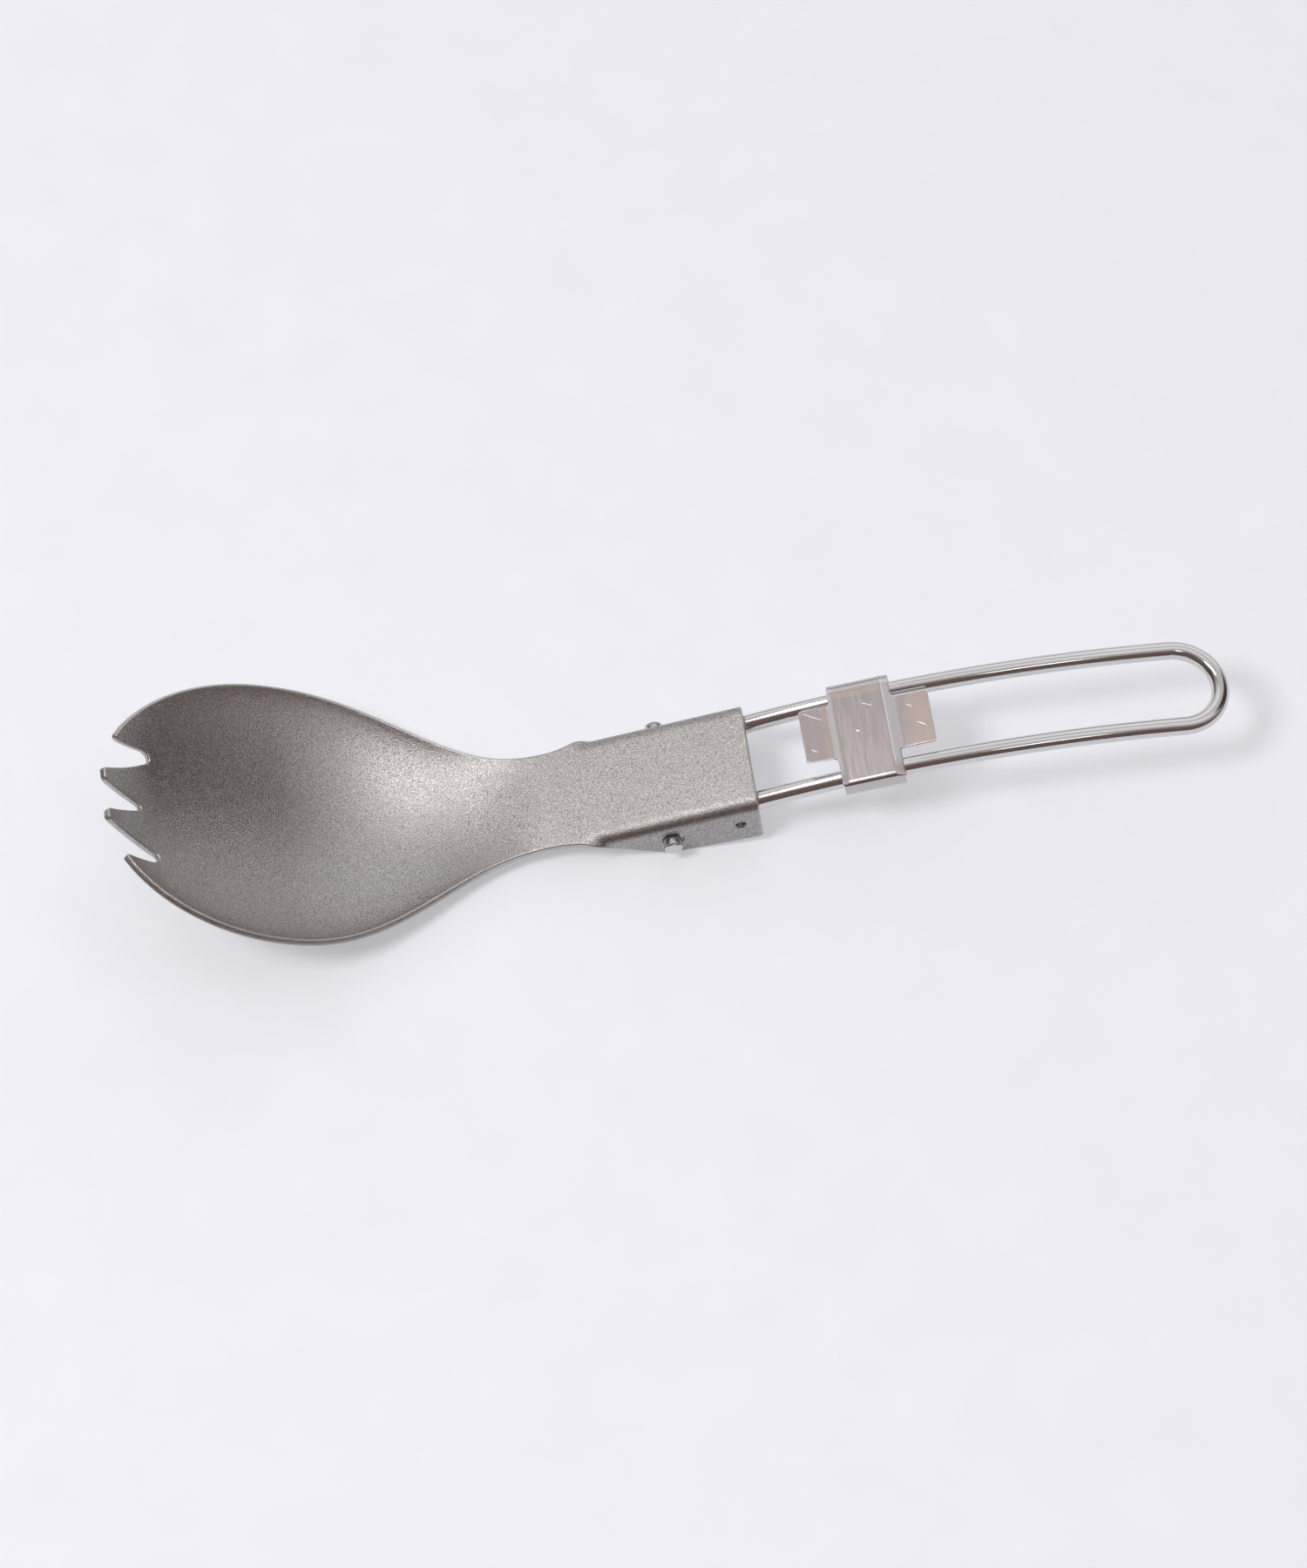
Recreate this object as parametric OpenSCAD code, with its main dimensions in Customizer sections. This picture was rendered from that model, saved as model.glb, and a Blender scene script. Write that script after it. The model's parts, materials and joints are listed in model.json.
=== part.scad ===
// Folding camping spork: a stamped titanium head with four tines and a folded channel,
// a bent wire handle whose turned-out ends are the pivot pins, and a sheet lock that slides on its legs.
// Lengths are in millimetres and angles in degrees. Everything is worked out about the pivot axis,
// with +X towards the handle's loop and +Z up, and then set down on the table.

/* [Head] */
// Thickness of the head's sheet
head_t = 1; // [0.7:0.05:1.2]
// Width of the bowl inside its rim
bowl_w = 41.9; // [38:0.1:48]
// Length from the widest part of the bowl to its front end
bowl_front = 23.9; // [21:0.1:30]
// Length from the widest part of the bowl to the narrowest part of the neck
bowl_rear = 38.6; // [34:0.1:46]
// Depth of the bowl below its rim at the widest part
bowl_depth = 5.8; // [3:0.1:8]
// Fullness of the bowl's cross section, where 1 is a parabola and less is fuller
bowl_fullness = 0.8; // [0.6:0.05:1]
// Slope of the rim up towards the tines
rim_rise = 24.8; // [12:0.1:32]
// Length from the pivot axis to the knee where the rim starts to rise
rim_knee = 39.2; // [34:0.1:46]
// Reach of the rim's rounded knee on each side
rim_knee_reach = 16; // [8:0.5:18]
// Width of the neck at its narrowest
neck_w = 15.6; // [14:0.1:17]
// Length from the pivot axis to the narrowest part of the neck
neck_back = 16.9; // [15:0.1:22]
// Half width that the flat blank gains from the narrowest part of the neck to the front of the cheeks
neck_flare = 2; // [1:0.1:3]
// Length from the narrowest part of the neck forward to the throat, where the rim runs level
throat_back = 3.1; // [1:0.1:6]
// Reach of the rounded corner at the throat on each side
throat_reach = 6; // [3:0.5:8]

/* [Tines] */
// Length trimmed square off the front end of the bowl, which leaves the tine tips blunt
tip_trim = 0.15; // [0.05:0.05:0.4]
// Length from the front end of the bowl to the root of the middle notch
middle_notch = 5.7; // [3:0.1:8]
// Half of the angle that the middle notch opens to
middle_angle = 23.7; // [15:0.1:28]
// Length from the front end of the bowl to the root of the side notches
side_notch = 7.55; // [5:0.05:9]
// Distance of the side notch roots from the centre line
side_notch_y = 8.55; // [7.5:0.05:9.5]
// Angle at which a side notch's outer edge opens outwards from the centre line
side_outer_angle = 1.8; // [0:0.1:8]
// Angle at which a side notch's inner edge opens inwards to the centre line
side_inner_angle = 31.8; // [26:0.1:36]
// Radius of the notch roots
notch_r = 0.5; // [0.3:0.05:0.7]

/* [Channel] */
// Tilt of the channel's top plate, up towards the handle
plate_tilt = 12; // [8:0.1:14]
// Length from the pivot axis to the rear edge of the top plate
plate_rear = 12.4; // [11:0.1:16]
// Length from the pivot axis to the front of the cheeks
cheek_front = 9.5; // [8:0.1:11]
// Length from the pivot axis to the lower rear corner of the cheeks
cheek_rear = 13.3; // [12:0.1:16]
// Drop of the cheeks' rear corner below the pivot axis
cheek_rear_drop = 2; // [1:0.1:3]
// Outer radius of the bend between the top plate and the cheeks
bend_r = 2; // [1.3:0.05:2.4]
// Length in front of the cheeks over which the blank's edges turn down
fold_start = 5; // [3:0.5:6]
// Radius of the ears round the pivot holes
ear_r = 3.65; // [3:0.05:4.5]
// Diameter of the pivot holes
pivot_hole_d = 3.4; // [2.9:0.05:4]
// Diameter of the detent dimples in the cheeks
dimple_d = 1.7; // [1:0.1:2.2]
// Depth of the detent dimples
dimple_depth = 0.5; // [0.2:0.05:0.6]
// Length from the pivot axis to the detent dimples
dimple_x = 9.9; // [8:0.1:10.5]
// Height of the detent dimples above the pivot axis
dimple_z = 1.9; // [1:0.1:2.5]
// Height of the detent nubs inside the cheeks
nub_h = 0.1; // [0.05:0.01:0.15]

/* [Handle] */
// Diameter of the handle wire
wire_d = 2.6; // [2:0.1:3]
// Distance between the centre lines of the two legs
leg_gap = 12.7; // [11:0.1:14]
// Radius of the long curve of the legs, seen from the side
leg_curve_r = 177; // [150:1:220]
// Slope of the legs where they leave the pivot
leg_start = 19.6; // [17:0.1:22]
// Slope of the legs where the loop starts, negative when it falls
leg_end = -4.4; // [-8:0.1:0]
// Centre line radius of the bend from a leg to its pin
pin_bend_r = 1.4; // [1.35:0.05:2]
// Distance from the centre line of the spork to the end of a pin
pin_reach = 10.4; // [9.9:0.1:12]
// Chamfer on the pin ends
pin_chamfer = 0.25; // [0.1:0.05:0.5]

/* [Slide lock] */
// Thickness of the lock's sheet
lock_t = 0.4; // [0.3:0.05:0.6]
// Length of the lock's plate along the legs
lock_len = 9.2; // [7:0.1:12]
// Distance along the legs from the pivot to the middle of the lock
lock_at = 30.3; // [29:0.1:40]
// Length of the tabs beyond the plate's ends
tab_len = 4.8; // [3.5:0.1:6]
// Width of the tabs
tab_w = 8.6; // [6:0.1:10]
// Length along which the front tab steps up, half of it inside the plate's end
tab_step = 2.1; // [1.6:0.1:3]
// Angle that the lips wrap round the wire, from the top round the outside
lip_wrap = 210; // [180:1:225]

/* [Fits] */
// Side clearance between the legs and the cheeks
side_gap = 0.2; // [0.15:0.05:0.5]
// Clearance between the open legs and the rear edge of the top plate, which stops them
stop_gap = 0.1; // [0.05:0.01:0.2]
// Clearance between the lock and the wire
lock_gap = 0.12; // [0.1:0.01:0.25]
// Clearance between the locked front tab and the rear edge of the top plate
tab_gap = 0.3; // [0.25:0.01:0.5]

/* [Hidden] */

// Legs of the handle, seen from the side
wire_r = wire_d / 2;
leg_y = leg_gap / 2;
leg_from = pin_bend_r * [cos(leg_start), sin(leg_start)];
leg_centre = leg_from + leg_curve_r * [sin(leg_start), -cos(leg_start)];
function leg_point(slope) = leg_centre + leg_curve_r * [-sin(slope), cos(slope)];
function leg_slope_at(x) = asin((leg_centre[0] - x) / leg_curve_r);
function leg_top(x) = leg_point(leg_slope_at(x))[1] + wire_r / cos(leg_slope_at(x));
loop_from = leg_point(leg_end);
splice = 0.2;
splice_step = 0.02;

// Channel: the top plate lies just over the open legs at its rear edge
channel_in = leg_y + wire_r + side_gap;
channel_out = channel_in + head_t;
plate_rear_z = leg_top(plate_rear) + stop_gap + head_t / cos(plate_tilt);
function plate_z(x) = plate_rear_z + tan(plate_tilt) * (x - plate_rear);
fold_y = channel_out - bend_r;

// Bowl stations along X
x_neck = -neck_back;
x_wide = x_neck - bowl_rear;
x_front = x_wide - bowl_front;
x_throat = x_neck - throat_back;
x_knee = -rim_knee;
x_join = -cheek_front;

// A straight rise that starts with a rounded knee: level before -reach, straight after +reach
function ramp(t, reach) = t < -reach ? 0 : t > reach ? t : pow(t + reach, 2) / (4 * reach);
function smooth(t) = let (c = min(max(t, 0), 1)) c * c * (3 - 2 * c);

// Height of the rim: level at the throat, rising to the tines and along the channel's top plate
function rim_z(x) = plate_z(x_throat) + tan(rim_rise) * ramp(x_knee - x, rim_knee_reach)
    + tan(plate_tilt) * ramp(x - x_throat, throat_reach);

// Half width of the flat blank: a half ellipse, a smooth waist, then a flare into the cheeks
waist_power = [2.2, 2.7];
function front_share(x) = min(max((x_wide - x) / bowl_front, 0), 1);
function rear_share(x) = min(max((x - x_wide) / bowl_rear, 0), 1);
function half_width(x) =
    x < x_wide ? bowl_w / 2 * sqrt(1 - pow(front_share(x), 2))
    : neck_w / 2 + (bowl_w - neck_w) / 2 * pow(1 - pow(rear_share(x), waist_power[0]), waist_power[1])
        + neck_flare * pow(max(x - x_neck, 0) / (x_join - x_neck), 2);

// Depth of the middle line below the rim, steep behind the tines and easy towards the neck
front_power = 0.5;
rear_power = 1.8;
function middle_depth(x) = bowl_depth
    * (x < x_wide ? pow(1 - pow(front_share(x), 2), front_power)
        : pow(1 - pow(rear_share(x), 2), rear_power));

// The blank's edges turn down along the fold line as the neck runs into the channel
function fold_angle(x) = 90 * smooth((x - x_join) / fold_start + 1);
function folded(w, angle) =
    let (a = min(max((w - fold_y) / bend_r * 180 / PI, 0), angle))
    let (rest = max(w - fold_y, 0) - bend_r * a * PI / 180)
    [min(w, fold_y) + bend_r * sin(a) + rest * cos(a), -bend_r * (1 - cos(a)) - rest * sin(a)];

// Point of the head's upper skin at x, and at v from -1 to 1 across the blank
function skin(x, v) =
    let (f = folded(abs(v) * half_width(x), fold_angle(x)))
    [x, sign(v) * f[0], rim_z(x) + f[1] - middle_depth(x) * pow(max(1 - v * v, 0), bowl_fullness)];
normal_step = 0.01;
function skin_normal(x, v) =
    let (n = cross(skin(x + normal_step, v) - skin(x - normal_step, v),
        skin(x, v + normal_step) - skin(x, v - normal_step)))
    n / norm(n);

// Rows of the bowl and neck: even angles round the front, even steps to the channel
front_rows = 16;
rear_rows = 20;
neck_rows = 10;
half_columns = 14;
first_angle = 4;
join_depth = 1.2;
join_inset = 0.03;
function front_angle(i) = first_angle + (90 - first_angle) * i / front_rows;
row_x = concat(
    [for (i = [0 : front_rows - 1]) x_wide - bowl_front * cos(front_angle(i))],
    [for (i = [0 : rear_rows - 1]) x_wide + bowl_rear * i / rear_rows],
    [for (i = [0 : neck_rows]) x_neck + (x_join - x_neck) * i / neck_rows],
    [x_join + join_depth]);
column_v = [for (j = [-half_columns : half_columns]) sin(90 * j / half_columns)];
rows = len(row_x);
columns = len(column_v);

// The last rows shrink by a hair, so that they end inside the channel
function inset_at(x) = join_inset * smooth((x - x_join) / join_depth + 1);
upper_skin = [for (x = row_x) for (v = column_v) skin(x, v) - inset_at(x) * skin_normal(x, v)];
lower_skin = [for (x = row_x) for (v = column_v) skin(x, v) - (head_t - inset_at(x)) * skin_normal(x, v)];

// Two triangles for one patch of a grid, named by its corners in turn
function patch(a, b, c, d) = [[a, b, c], [a, c, d]];
function flatten(list) = [for (part = list) for (item = part) item];

// Table height and the middle of the spork's length
bowl_low = min([for (p = lower_skin) p[2]]);
z_table = min(bowl_low, -ear_r);
x_low = x_front + tip_trim;
x_high = loop_from[0] + leg_y * cos(leg_end) + wire_r;
origin = [(x_low + x_high) / 2, 0, z_table];

// Slide lock
lock_in = wire_r + lock_gap;
lock_out = lock_in + lock_t;
tab_lift = head_t + stop_gap + tab_gap - lock_gap;
lock_slope = leg_start - (lock_at - pin_bend_r) / leg_curve_r * 180 / PI;
lock_place = leg_point(lock_slope);

// A length that reaches well past the part it cuts
far = 60;
sides = 96;
leg_sides = 720;
hole_sides = 48;

// Draws its children on the table, from places about the pivot axis
module on_table() {
    translate(-origin) children();
}

// Solid along Y from an outline drawn in X and Z
module along_y(width) {
    rotate([90, 0, 0]) linear_extrude(width, center = true) children();
}

// Solid along X from an outline drawn in Y and Z
module along_x(length) {
    rotate([90, 0, 90]) linear_extrude(length, center = true) children();
}

// Bowl and neck as one curved sheet
module bowl_sheet() {
    count = rows * columns;
    last = rows - 1;
    edge = columns - 1;
    upper = flatten([for (i = [0 : last - 1]) for (j = [0 : edge - 1])
        let (k = i * columns + j) patch(k, k + 1, k + columns + 1, k + columns)]);
    lower = flatten([for (i = [0 : last - 1]) for (j = [0 : edge - 1])
        let (k = count + i * columns + j) patch(k, k + columns, k + columns + 1, k + 1)]);
    right = flatten([for (i = [0 : last - 1])
        let (k = i * columns) patch(k, k + columns, count + k + columns, count + k)]);
    left = flatten([for (i = [0 : last - 1])
        let (k = i * columns + edge) patch(k + columns, k, count + k, count + k + columns)]);
    front = flatten([for (j = [0 : edge - 1]) patch(j + 1, j, count + j, count + j + 1)]);
    rear = flatten([for (j = [0 : edge - 1])
        let (k = last * columns + j) patch(k, k + 1, count + k + 1, count + k)]);
    polyhedron(concat(upper_skin, lower_skin), concat(upper, lower, right, left, front, rear));
}

// Notch open to the front: a round root at its back end and two straight edges
module notch(root_x, root_y, low_angle, high_angle) {
    low = 180 + low_angle;
    high = 180 - high_angle;
    translate([root_x - notch_r, root_y, 0]) linear_extrude(far, center = true) {
        circle(notch_r, $fn = hole_sides);
        polygon([
            notch_r * [cos(low + 90), sin(low + 90)],
            notch_r * [cos(low + 90), sin(low + 90)] + bowl_front * [cos(low), sin(low)],
            notch_r * [cos(high - 90), sin(high - 90)] + bowl_front * [cos(high), sin(high)],
            notch_r * [cos(high - 90), sin(high - 90)]
        ]);
    }
}

// Everything in front of the tine tips, and the three notches between the tines
module tine_cuts() {
    translate([x_low - far, 0, 0]) cube(2 * far, center = true);
    notch(x_front + middle_notch, 0, middle_angle, middle_angle);
    for (side = [0, 1]) mirror([0, side, 0])
        notch(x_front + side_notch, side_notch_y, side_inner_angle, side_outer_angle);
}

// Rounded top of a folded strip: half width, top height and corner radius
module fold_outline(half, top, r) {
    translate([-half, -far]) square([2 * half, far + top - r]);
    translate([r - half, top - r]) square([2 * (half - r), r]);
    for (side = [-1, 1]) translate([side * (half - r), top - r]) circle(r, $fn = hole_sides);
}

// Places on the ear's circle where a straight edge from a point outside runs on to it
function touch(p, turn) =
    let (a = atan2(p[1], p[0]) + turn * acos(ear_r / norm(p)))
    ear_r * [cos(a), sin(a)];

// Side outline of the channel: its ends, the sloping front edges and the ears round the pivot
module channel_outline() {
    front_low = [x_join, plate_z(x_join) - bend_r];
    rear_low = [cheek_rear, -cheek_rear_drop];
    rear_high = [plate_rear, plate_z(plate_rear)];
    front_high = [x_join, plate_z(x_join)];
    circle(ear_r, $fn = sides);
    polygon([front_low, touch(front_low, 1), touch(rear_low, -1), rear_low, rear_high, front_high]);
}

// Top plate and cheeks: one strip folded down along both sides
module channel() {
    intersection() {
        translate([0, 0, plate_z(0)]) rotate([0, -plate_tilt, 0]) along_x(far) difference() {
            fold_outline(channel_out, 0, bend_r);
            fold_outline(channel_in, -head_t, bend_r - head_t);
        }
        along_y(2 * far) channel_outline();
    }
}

// Head: bowl, tines, neck and channel, all one sheet
module spork_head() {
    color([0.60, 0.58, 0.56]) on_table() {
        difference() {
            union() {
                bowl_sheet();
                channel();
            }
            tine_cuts();
            rotate([90, 0, 0]) cylinder(2 * far, d = pivot_hole_d, center = true, $fn = sides);
            for (side = [-1, 1]) translate([dimple_x, side * channel_out, dimple_z]) rotate([90, 0, 0])
                cylinder(2 * dimple_depth, d = dimple_d, center = true, $fn = hole_sides);
        }
        for (side = [-1, 1]) translate([dimple_x, side * channel_in, dimple_z]) rotate([90, 0, 0])
            cylinder(2 * nub_h, d = dimple_d, center = true, $fn = hole_sides);
    }
}

// Part of a wire ring: centre line radius, first angle, turn, wire radius and steps in a full ring
module wire_arc(r, first, turn, thick = wire_r, steps = sides) {
    rotate([0, 0, first]) rotate_extrude(angle = turn, $fn = steps)
        translate([r, 0]) circle(thick, $fn = hole_sides);
}

// Bend between two stretches of the wire, a hair thinner, whose ends run on inside them
module wire_bend(r, first, turn) {
    more = splice / r * 180 / PI;
    wire_arc(r, first - more, turn + 2 * more, wire_r - splice_step);
}

// One leg of the handle, from its pin to the loop
module leg() {
    translate([leg_centre[0], leg_y, leg_centre[1]]) rotate([90, 0, 0])
        wire_arc(leg_curve_r, 90 + leg_end, leg_start - leg_end, steps = leg_sides);
    rotate([0, -leg_start, 0]) translate([pin_bend_r, leg_y + pin_bend_r, 0]) wire_bend(pin_bend_r, 180, 90);
    pin_from = leg_y + pin_bend_r;
    translate([0, pin_from, 0]) rotate([-90, 0, 0]) {
        cylinder(pin_reach - pin_chamfer - pin_from, r = wire_r, $fn = hole_sides);
        translate([0, 0, pin_reach - pin_chamfer - pin_from])
            cylinder(pin_chamfer, wire_r, wire_r - pin_chamfer, $fn = hole_sides);
    }
}

// Handle: one wire, bent into two legs, the loop and the pivot pins
module wire_handle() {
    color([0.78, 0.79, 0.80]) on_table() {
        for (side = [0, 1]) mirror([0, side, 0]) leg();
        translate([loop_from[0], 0, loop_from[1]]) rotate([0, -leg_end, 0]) wire_bend(leg_y, -90, 180);
    }
}

// One side of the lock: the flat beside the tabs and the lip that wraps round the wire
module lock_side() {
    open = 90 - lip_wrap + 360;
    reach = 3 * lock_out;
    lip_end = reach * [cos(open), sin(open)];
    along_x(lock_len) {
        translate([tab_w / 2, lock_in]) square([leg_y - tab_w / 2, lock_t]);
        translate([leg_y, 0]) difference() {
            circle(lock_out, $fn = sides);
            circle(lock_in, $fn = sides);
            polygon([[0, 0], [0, reach], [-reach, reach], [-reach, lip_end[1]], lip_end]);
        }
    }
}

// Middle strip of the lock: its front end steps up into a tab, and its rear tab runs straight on
module lock_strip() {
    low = (lock_len - tab_step) / 2;
    high = (lock_len + tab_step) / 2;
    end = lock_len / 2 + tab_len;
    lean = lock_t * tan(atan2(tab_lift, tab_step) / 2);
    rear = [[end, 0], [end, lock_t]];
    over = [[lean - low, lock_t], [lean - high, tab_lift + lock_t], [-end, tab_lift + lock_t]];
    under = [[-end, tab_lift], [-high, tab_lift], [-low, 0]];
    translate([0, 0, lock_in]) along_y(tab_w) polygon(concat(rear, over, under));
}

// Slide lock: one folded sheet that runs on both legs
module slide_lock() {
    color([0.74, 0.72, 0.69]) on_table()
        translate([lock_place[0], 0, lock_place[1]]) rotate([0, -lock_slope, 0]) {
            for (side = [0, 1]) mirror([0, side, 0]) lock_side();
            lock_strip();
        }
}

spork_head();
wire_handle();
slide_lock();
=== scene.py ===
"""Folding camping spork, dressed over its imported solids.

The blasted titanium head, the polished wire handle and the satin slide lock are surfaces worked out from
the sizes below. Shapes are worked out about the pivot axis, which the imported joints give, with +X towards
the handle's loop and +Z up. Lengths are in metres and angles in radians.
"""

import json
import math

import bpy
import numpy as np
from bpy.props import FloatProperty, FloatVectorProperty, PointerProperty
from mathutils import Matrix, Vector
from mathutils.geometry import delaunay_2d_cdt


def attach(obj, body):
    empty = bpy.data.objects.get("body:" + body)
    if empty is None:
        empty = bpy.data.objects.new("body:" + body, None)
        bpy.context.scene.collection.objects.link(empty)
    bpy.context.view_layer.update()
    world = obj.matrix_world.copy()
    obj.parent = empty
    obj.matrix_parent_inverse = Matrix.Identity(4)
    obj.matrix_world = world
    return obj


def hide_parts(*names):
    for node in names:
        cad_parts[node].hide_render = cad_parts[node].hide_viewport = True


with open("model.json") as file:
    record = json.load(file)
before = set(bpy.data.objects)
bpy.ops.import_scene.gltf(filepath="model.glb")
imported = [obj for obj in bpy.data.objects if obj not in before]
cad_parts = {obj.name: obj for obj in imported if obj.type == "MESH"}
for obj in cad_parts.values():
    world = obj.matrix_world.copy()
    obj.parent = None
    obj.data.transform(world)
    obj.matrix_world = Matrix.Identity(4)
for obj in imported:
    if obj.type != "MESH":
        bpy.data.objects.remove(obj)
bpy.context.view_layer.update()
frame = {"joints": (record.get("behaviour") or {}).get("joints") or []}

bl_info = {
    "name": "Folding camping spork",
    "version": (1, 0, 0),
    "blender": (4, 5, 0),
    "location": "View3D > Sidebar > Spork",
    "description": "Builds the head, handle and slide lock of a folding camping spork, with a stage",
    "category": "Add Mesh",
}

MM = 0.001
JOINTS = {joint["name"]: joint for joint in frame["joints"]}
PIVOT = np.array(JOINTS["handle_fold"]["pos_m"])
LEG_CENTRE = np.array(JOINTS["lock_slide"]["pos_m"]) - PIVOT

# Width of the camera's sensor in millimetres
SENSOR_WIDTH = 36

# A length too small to matter, which keeps divisions and comparisons safe
TINY = 1e-9

# Points that are compared with all others at a time, which bounds the memory
CHUNK = 2000

# Shares of a sheet's point spacing: the guard points' distance from the rim and their least clearance to it,
# and the least clearances of the grid's points to the rim and to the guard points
GUARD_OFFSET = 0.55
GUARD_CLEAR = 0.4
GRID_CLEAR_RIM = 0.75
GRID_CLEAR_GUARD = 0.6

# Steps along the outlines as shares of the point spacing
HEAD_EDGE_STEP = 0.55
LOCK_EDGE_STEP = 0.6

# Numbers of points along the head's outline and round its holes and dimples
RIM_POINTS = 160
NECK_POINTS = 180
EAR_POINTS = 40
REAR_POINTS = 120
HOLE_POINTS = 64
DIMPLE_POINTS = 32

# Radii of the rings of points that hold a dimple's rim, wall and floor, as shares of its radius
DIMPLE_RINGS = (1.12, 1.0, 0.9, 0.78, 0.55, 0.25)

# Numbers of points along one half of the handle's centre line
PIN_POINTS = 14
ELBOW_POINTS = 16
LEG_POINTS = 140
LOOP_POINTS = 34

# Ripple on the cut pin ends: its height as a share of the ridge, its waves round the face and their phase
RIPPLE = 0.25
RIPPLE_WAVES = 3
RIPPLE_PHASE = 1


# Properties


def length(name, description, default):
    """A length property with its default in millimetres."""
    return FloatProperty(
        name=name, description=description, default=default * MM, unit="LENGTH", precision=5)


def angle(name, description, default):
    """An angle property with its default in degrees."""
    return FloatProperty(name=name, description=description, default=math.radians(default), subtype="ANGLE")


def number(name, description, default):
    """A plain number without a unit."""
    return FloatProperty(name=name, description=description, default=default)


def tint(name, description, default):
    """A linear colour."""
    return FloatVectorProperty(
        name=name, description=description, default=default, subtype="COLOR", min=0, max=1)


def direction(name, description, default):
    """A direction."""
    return FloatVectorProperty(name=name, description=description, default=default, subtype="DIRECTION")


def position(name, description, default):
    """A point with its default in millimetres."""
    place = tuple(c * MM for c in default)
    return FloatVectorProperty(
        name=name, description=description, default=place, subtype="XYZ", unit="LENGTH", precision=5)


class HeadSizes(bpy.types.PropertyGroup):
    """Sizes of the stamped head."""

    sheet: length("Sheet", "Thickness of the head's sheet", 1.0)
    edge_r: length("Edge radius", "Radius of the tumbled edges", 0.26)
    bowl_w: length("Bowl width", "Width of the bowl inside its rim", 41.9)
    bowl_front: length("Bowl front", "Length from the widest part to the front end", 23.9)
    bowl_rear: length("Bowl rear", "Length from the widest part to the neck", 38.6)
    bowl_depth: length("Bowl depth", "Depth of the bowl below its rim at the widest part", 5.8)
    bowl_fullness: number("Bowl fullness", "Power of the cross section, where 1 is a parabola", 0.8)
    front_power: number("Front power", "Power of the middle line's depth towards the tines", 0.5)
    rear_power: number("Rear power", "Power of the middle line's depth towards the neck", 1.8)
    rim_rise: angle("Rim rise", "Slope of the rim up towards the tines", 24.8)
    rim_knee: length("Rim knee", "Length from the pivot to where the rim starts to rise", 39.2)
    rim_knee_reach: length("Rim knee reach", "Reach of the rim's rounded knee", 16)
    neck_w: length("Neck width", "Width of the neck at its narrowest", 15.6)
    neck_back: length("Neck back", "Length from the pivot to the narrowest neck", 16.9)
    waist_hold: number("Waist hold", "Power that keeps the waist wide beside the bowl", 2.2)
    waist_fall: number("Waist fall", "Power of the waist's fall towards the neck", 2.7)
    neck_flare: length("Neck flare", "Half width that the blank gains by the front of the cheeks", 3.24)
    throat_back: length("Throat back", "Length from the narrowest neck to the level throat", 3.1)
    throat_reach: length("Throat reach", "Reach of the rounded corner at the throat", 6)
    tip_trim: length("Tip trim", "Length trimmed off the front end by the tine tips", 0.8)
    tip_lift: length("Tip lift", "Height that the middle tines turn up by, beyond the rim's slope", 1.75)
    tip_reach: length("Tip reach", "Length of the turned up front end", 7)
    tip_power: number("Tip power", "Power of the turned up front end's curve", 1.3)
    tip_share: number("Tip share", "Share of the tip lift that the outer tines turn up by", 0.25)
    tip_r: length("Middle tine radius", "Radius of the corners of the middle tines' blunt tips", 0.8)
    tine_r: length("Outer tine radius", "Radius of the outer tine tips", 0.5)
    middle_notch: length("Middle notch", "Length from the front end to the middle notch's root", 5.3)
    middle_angle: angle("Middle angle", "Half of the angle that the middle notch opens to", 23.7)
    side_notch: length("Side notch", "Length from the front end to the side notch roots", 8.0)
    side_notch_y: length("Side notch place", "Distance of the side notch roots from the middle", 8.55)
    side_outer_angle: angle("Side outer angle", "Outward lean of a side notch's outer edge", 1.8)
    side_inner_angle: angle("Side inner angle", "Inward lean of a side notch's inner edge", 30.5)
    notch_r: length("Notch radius", "Radius that the side notches' edges touch at their roots", 0.5)
    middle_root_r: length("Middle root radius", "Radius of the middle notch's root", 0.65)
    side_root_r: length("Side root radius", "Radius of the side notch roots", 0.95)
    plate_tilt: angle("Plate tilt", "Tilt of the channel's top plate, up towards the handle", 12)
    plate_rear: length("Plate rear", "Length from the pivot to the top plate's rear edge", 12.4)
    cheek_front: length("Cheek front", "Length from the pivot to the front of the cheeks", 7.5)
    cheek_rear: length("Cheek rear", "Length from the pivot to the cheeks' lower rear corner", 13.3)
    cheek_rear_drop: length("Cheek rear drop", "Drop of that corner below the pivot", 2)
    cheek_corner_r: length("Cheek corner radius", "Radius of the cheeks' lower rear corner", 0.5)
    bend_r: length("Bend radius", "Outer radius of the bend from the plate to the cheeks", 2)
    fold_start: length("Fold start", "Length over which the blank's edges turn down", 5.0)
    ear_r: length("Ear radius", "Radius of the ears round the pivot holes", 3.65)
    pivot_hole_d: length("Pivot hole", "Diameter of the pivot holes", 3.25)
    hole_shift: length("Hole shift", "How far the holes lie behind the pins, which touch their front", 0.22)
    hole_edge_r: length("Hole edge radius", "Radius of the pivot holes' edges", 0.12)
    dimple_d: length("Dimple", "Diameter of the detent dimples", 1.7)
    dimple_depth: length("Dimple depth", "Depth of the detent dimples", 0.95)
    dimple_floor: number("Dimple floor", "Share of the dimples' radius that their floor takes up", 0.78)
    dimple_x: length("Dimple place", "Length from the pivot to the dimples", 9.9)
    dimple_z: length("Dimple height", "Height of the dimples above the pivot", 1.9)
    nub_h: length("Nub", "Height of the detent nubs inside the cheeks", 0.1)
    side_gap: length("Side gap", "Clearance between the legs and the cheeks", 0.2)
    stop_gap: length("Stop gap", "Clearance between the open legs and the top plate", 0.1)
    spacing: length("Spacing", "Spacing of the surface's points", 0.45)


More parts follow.
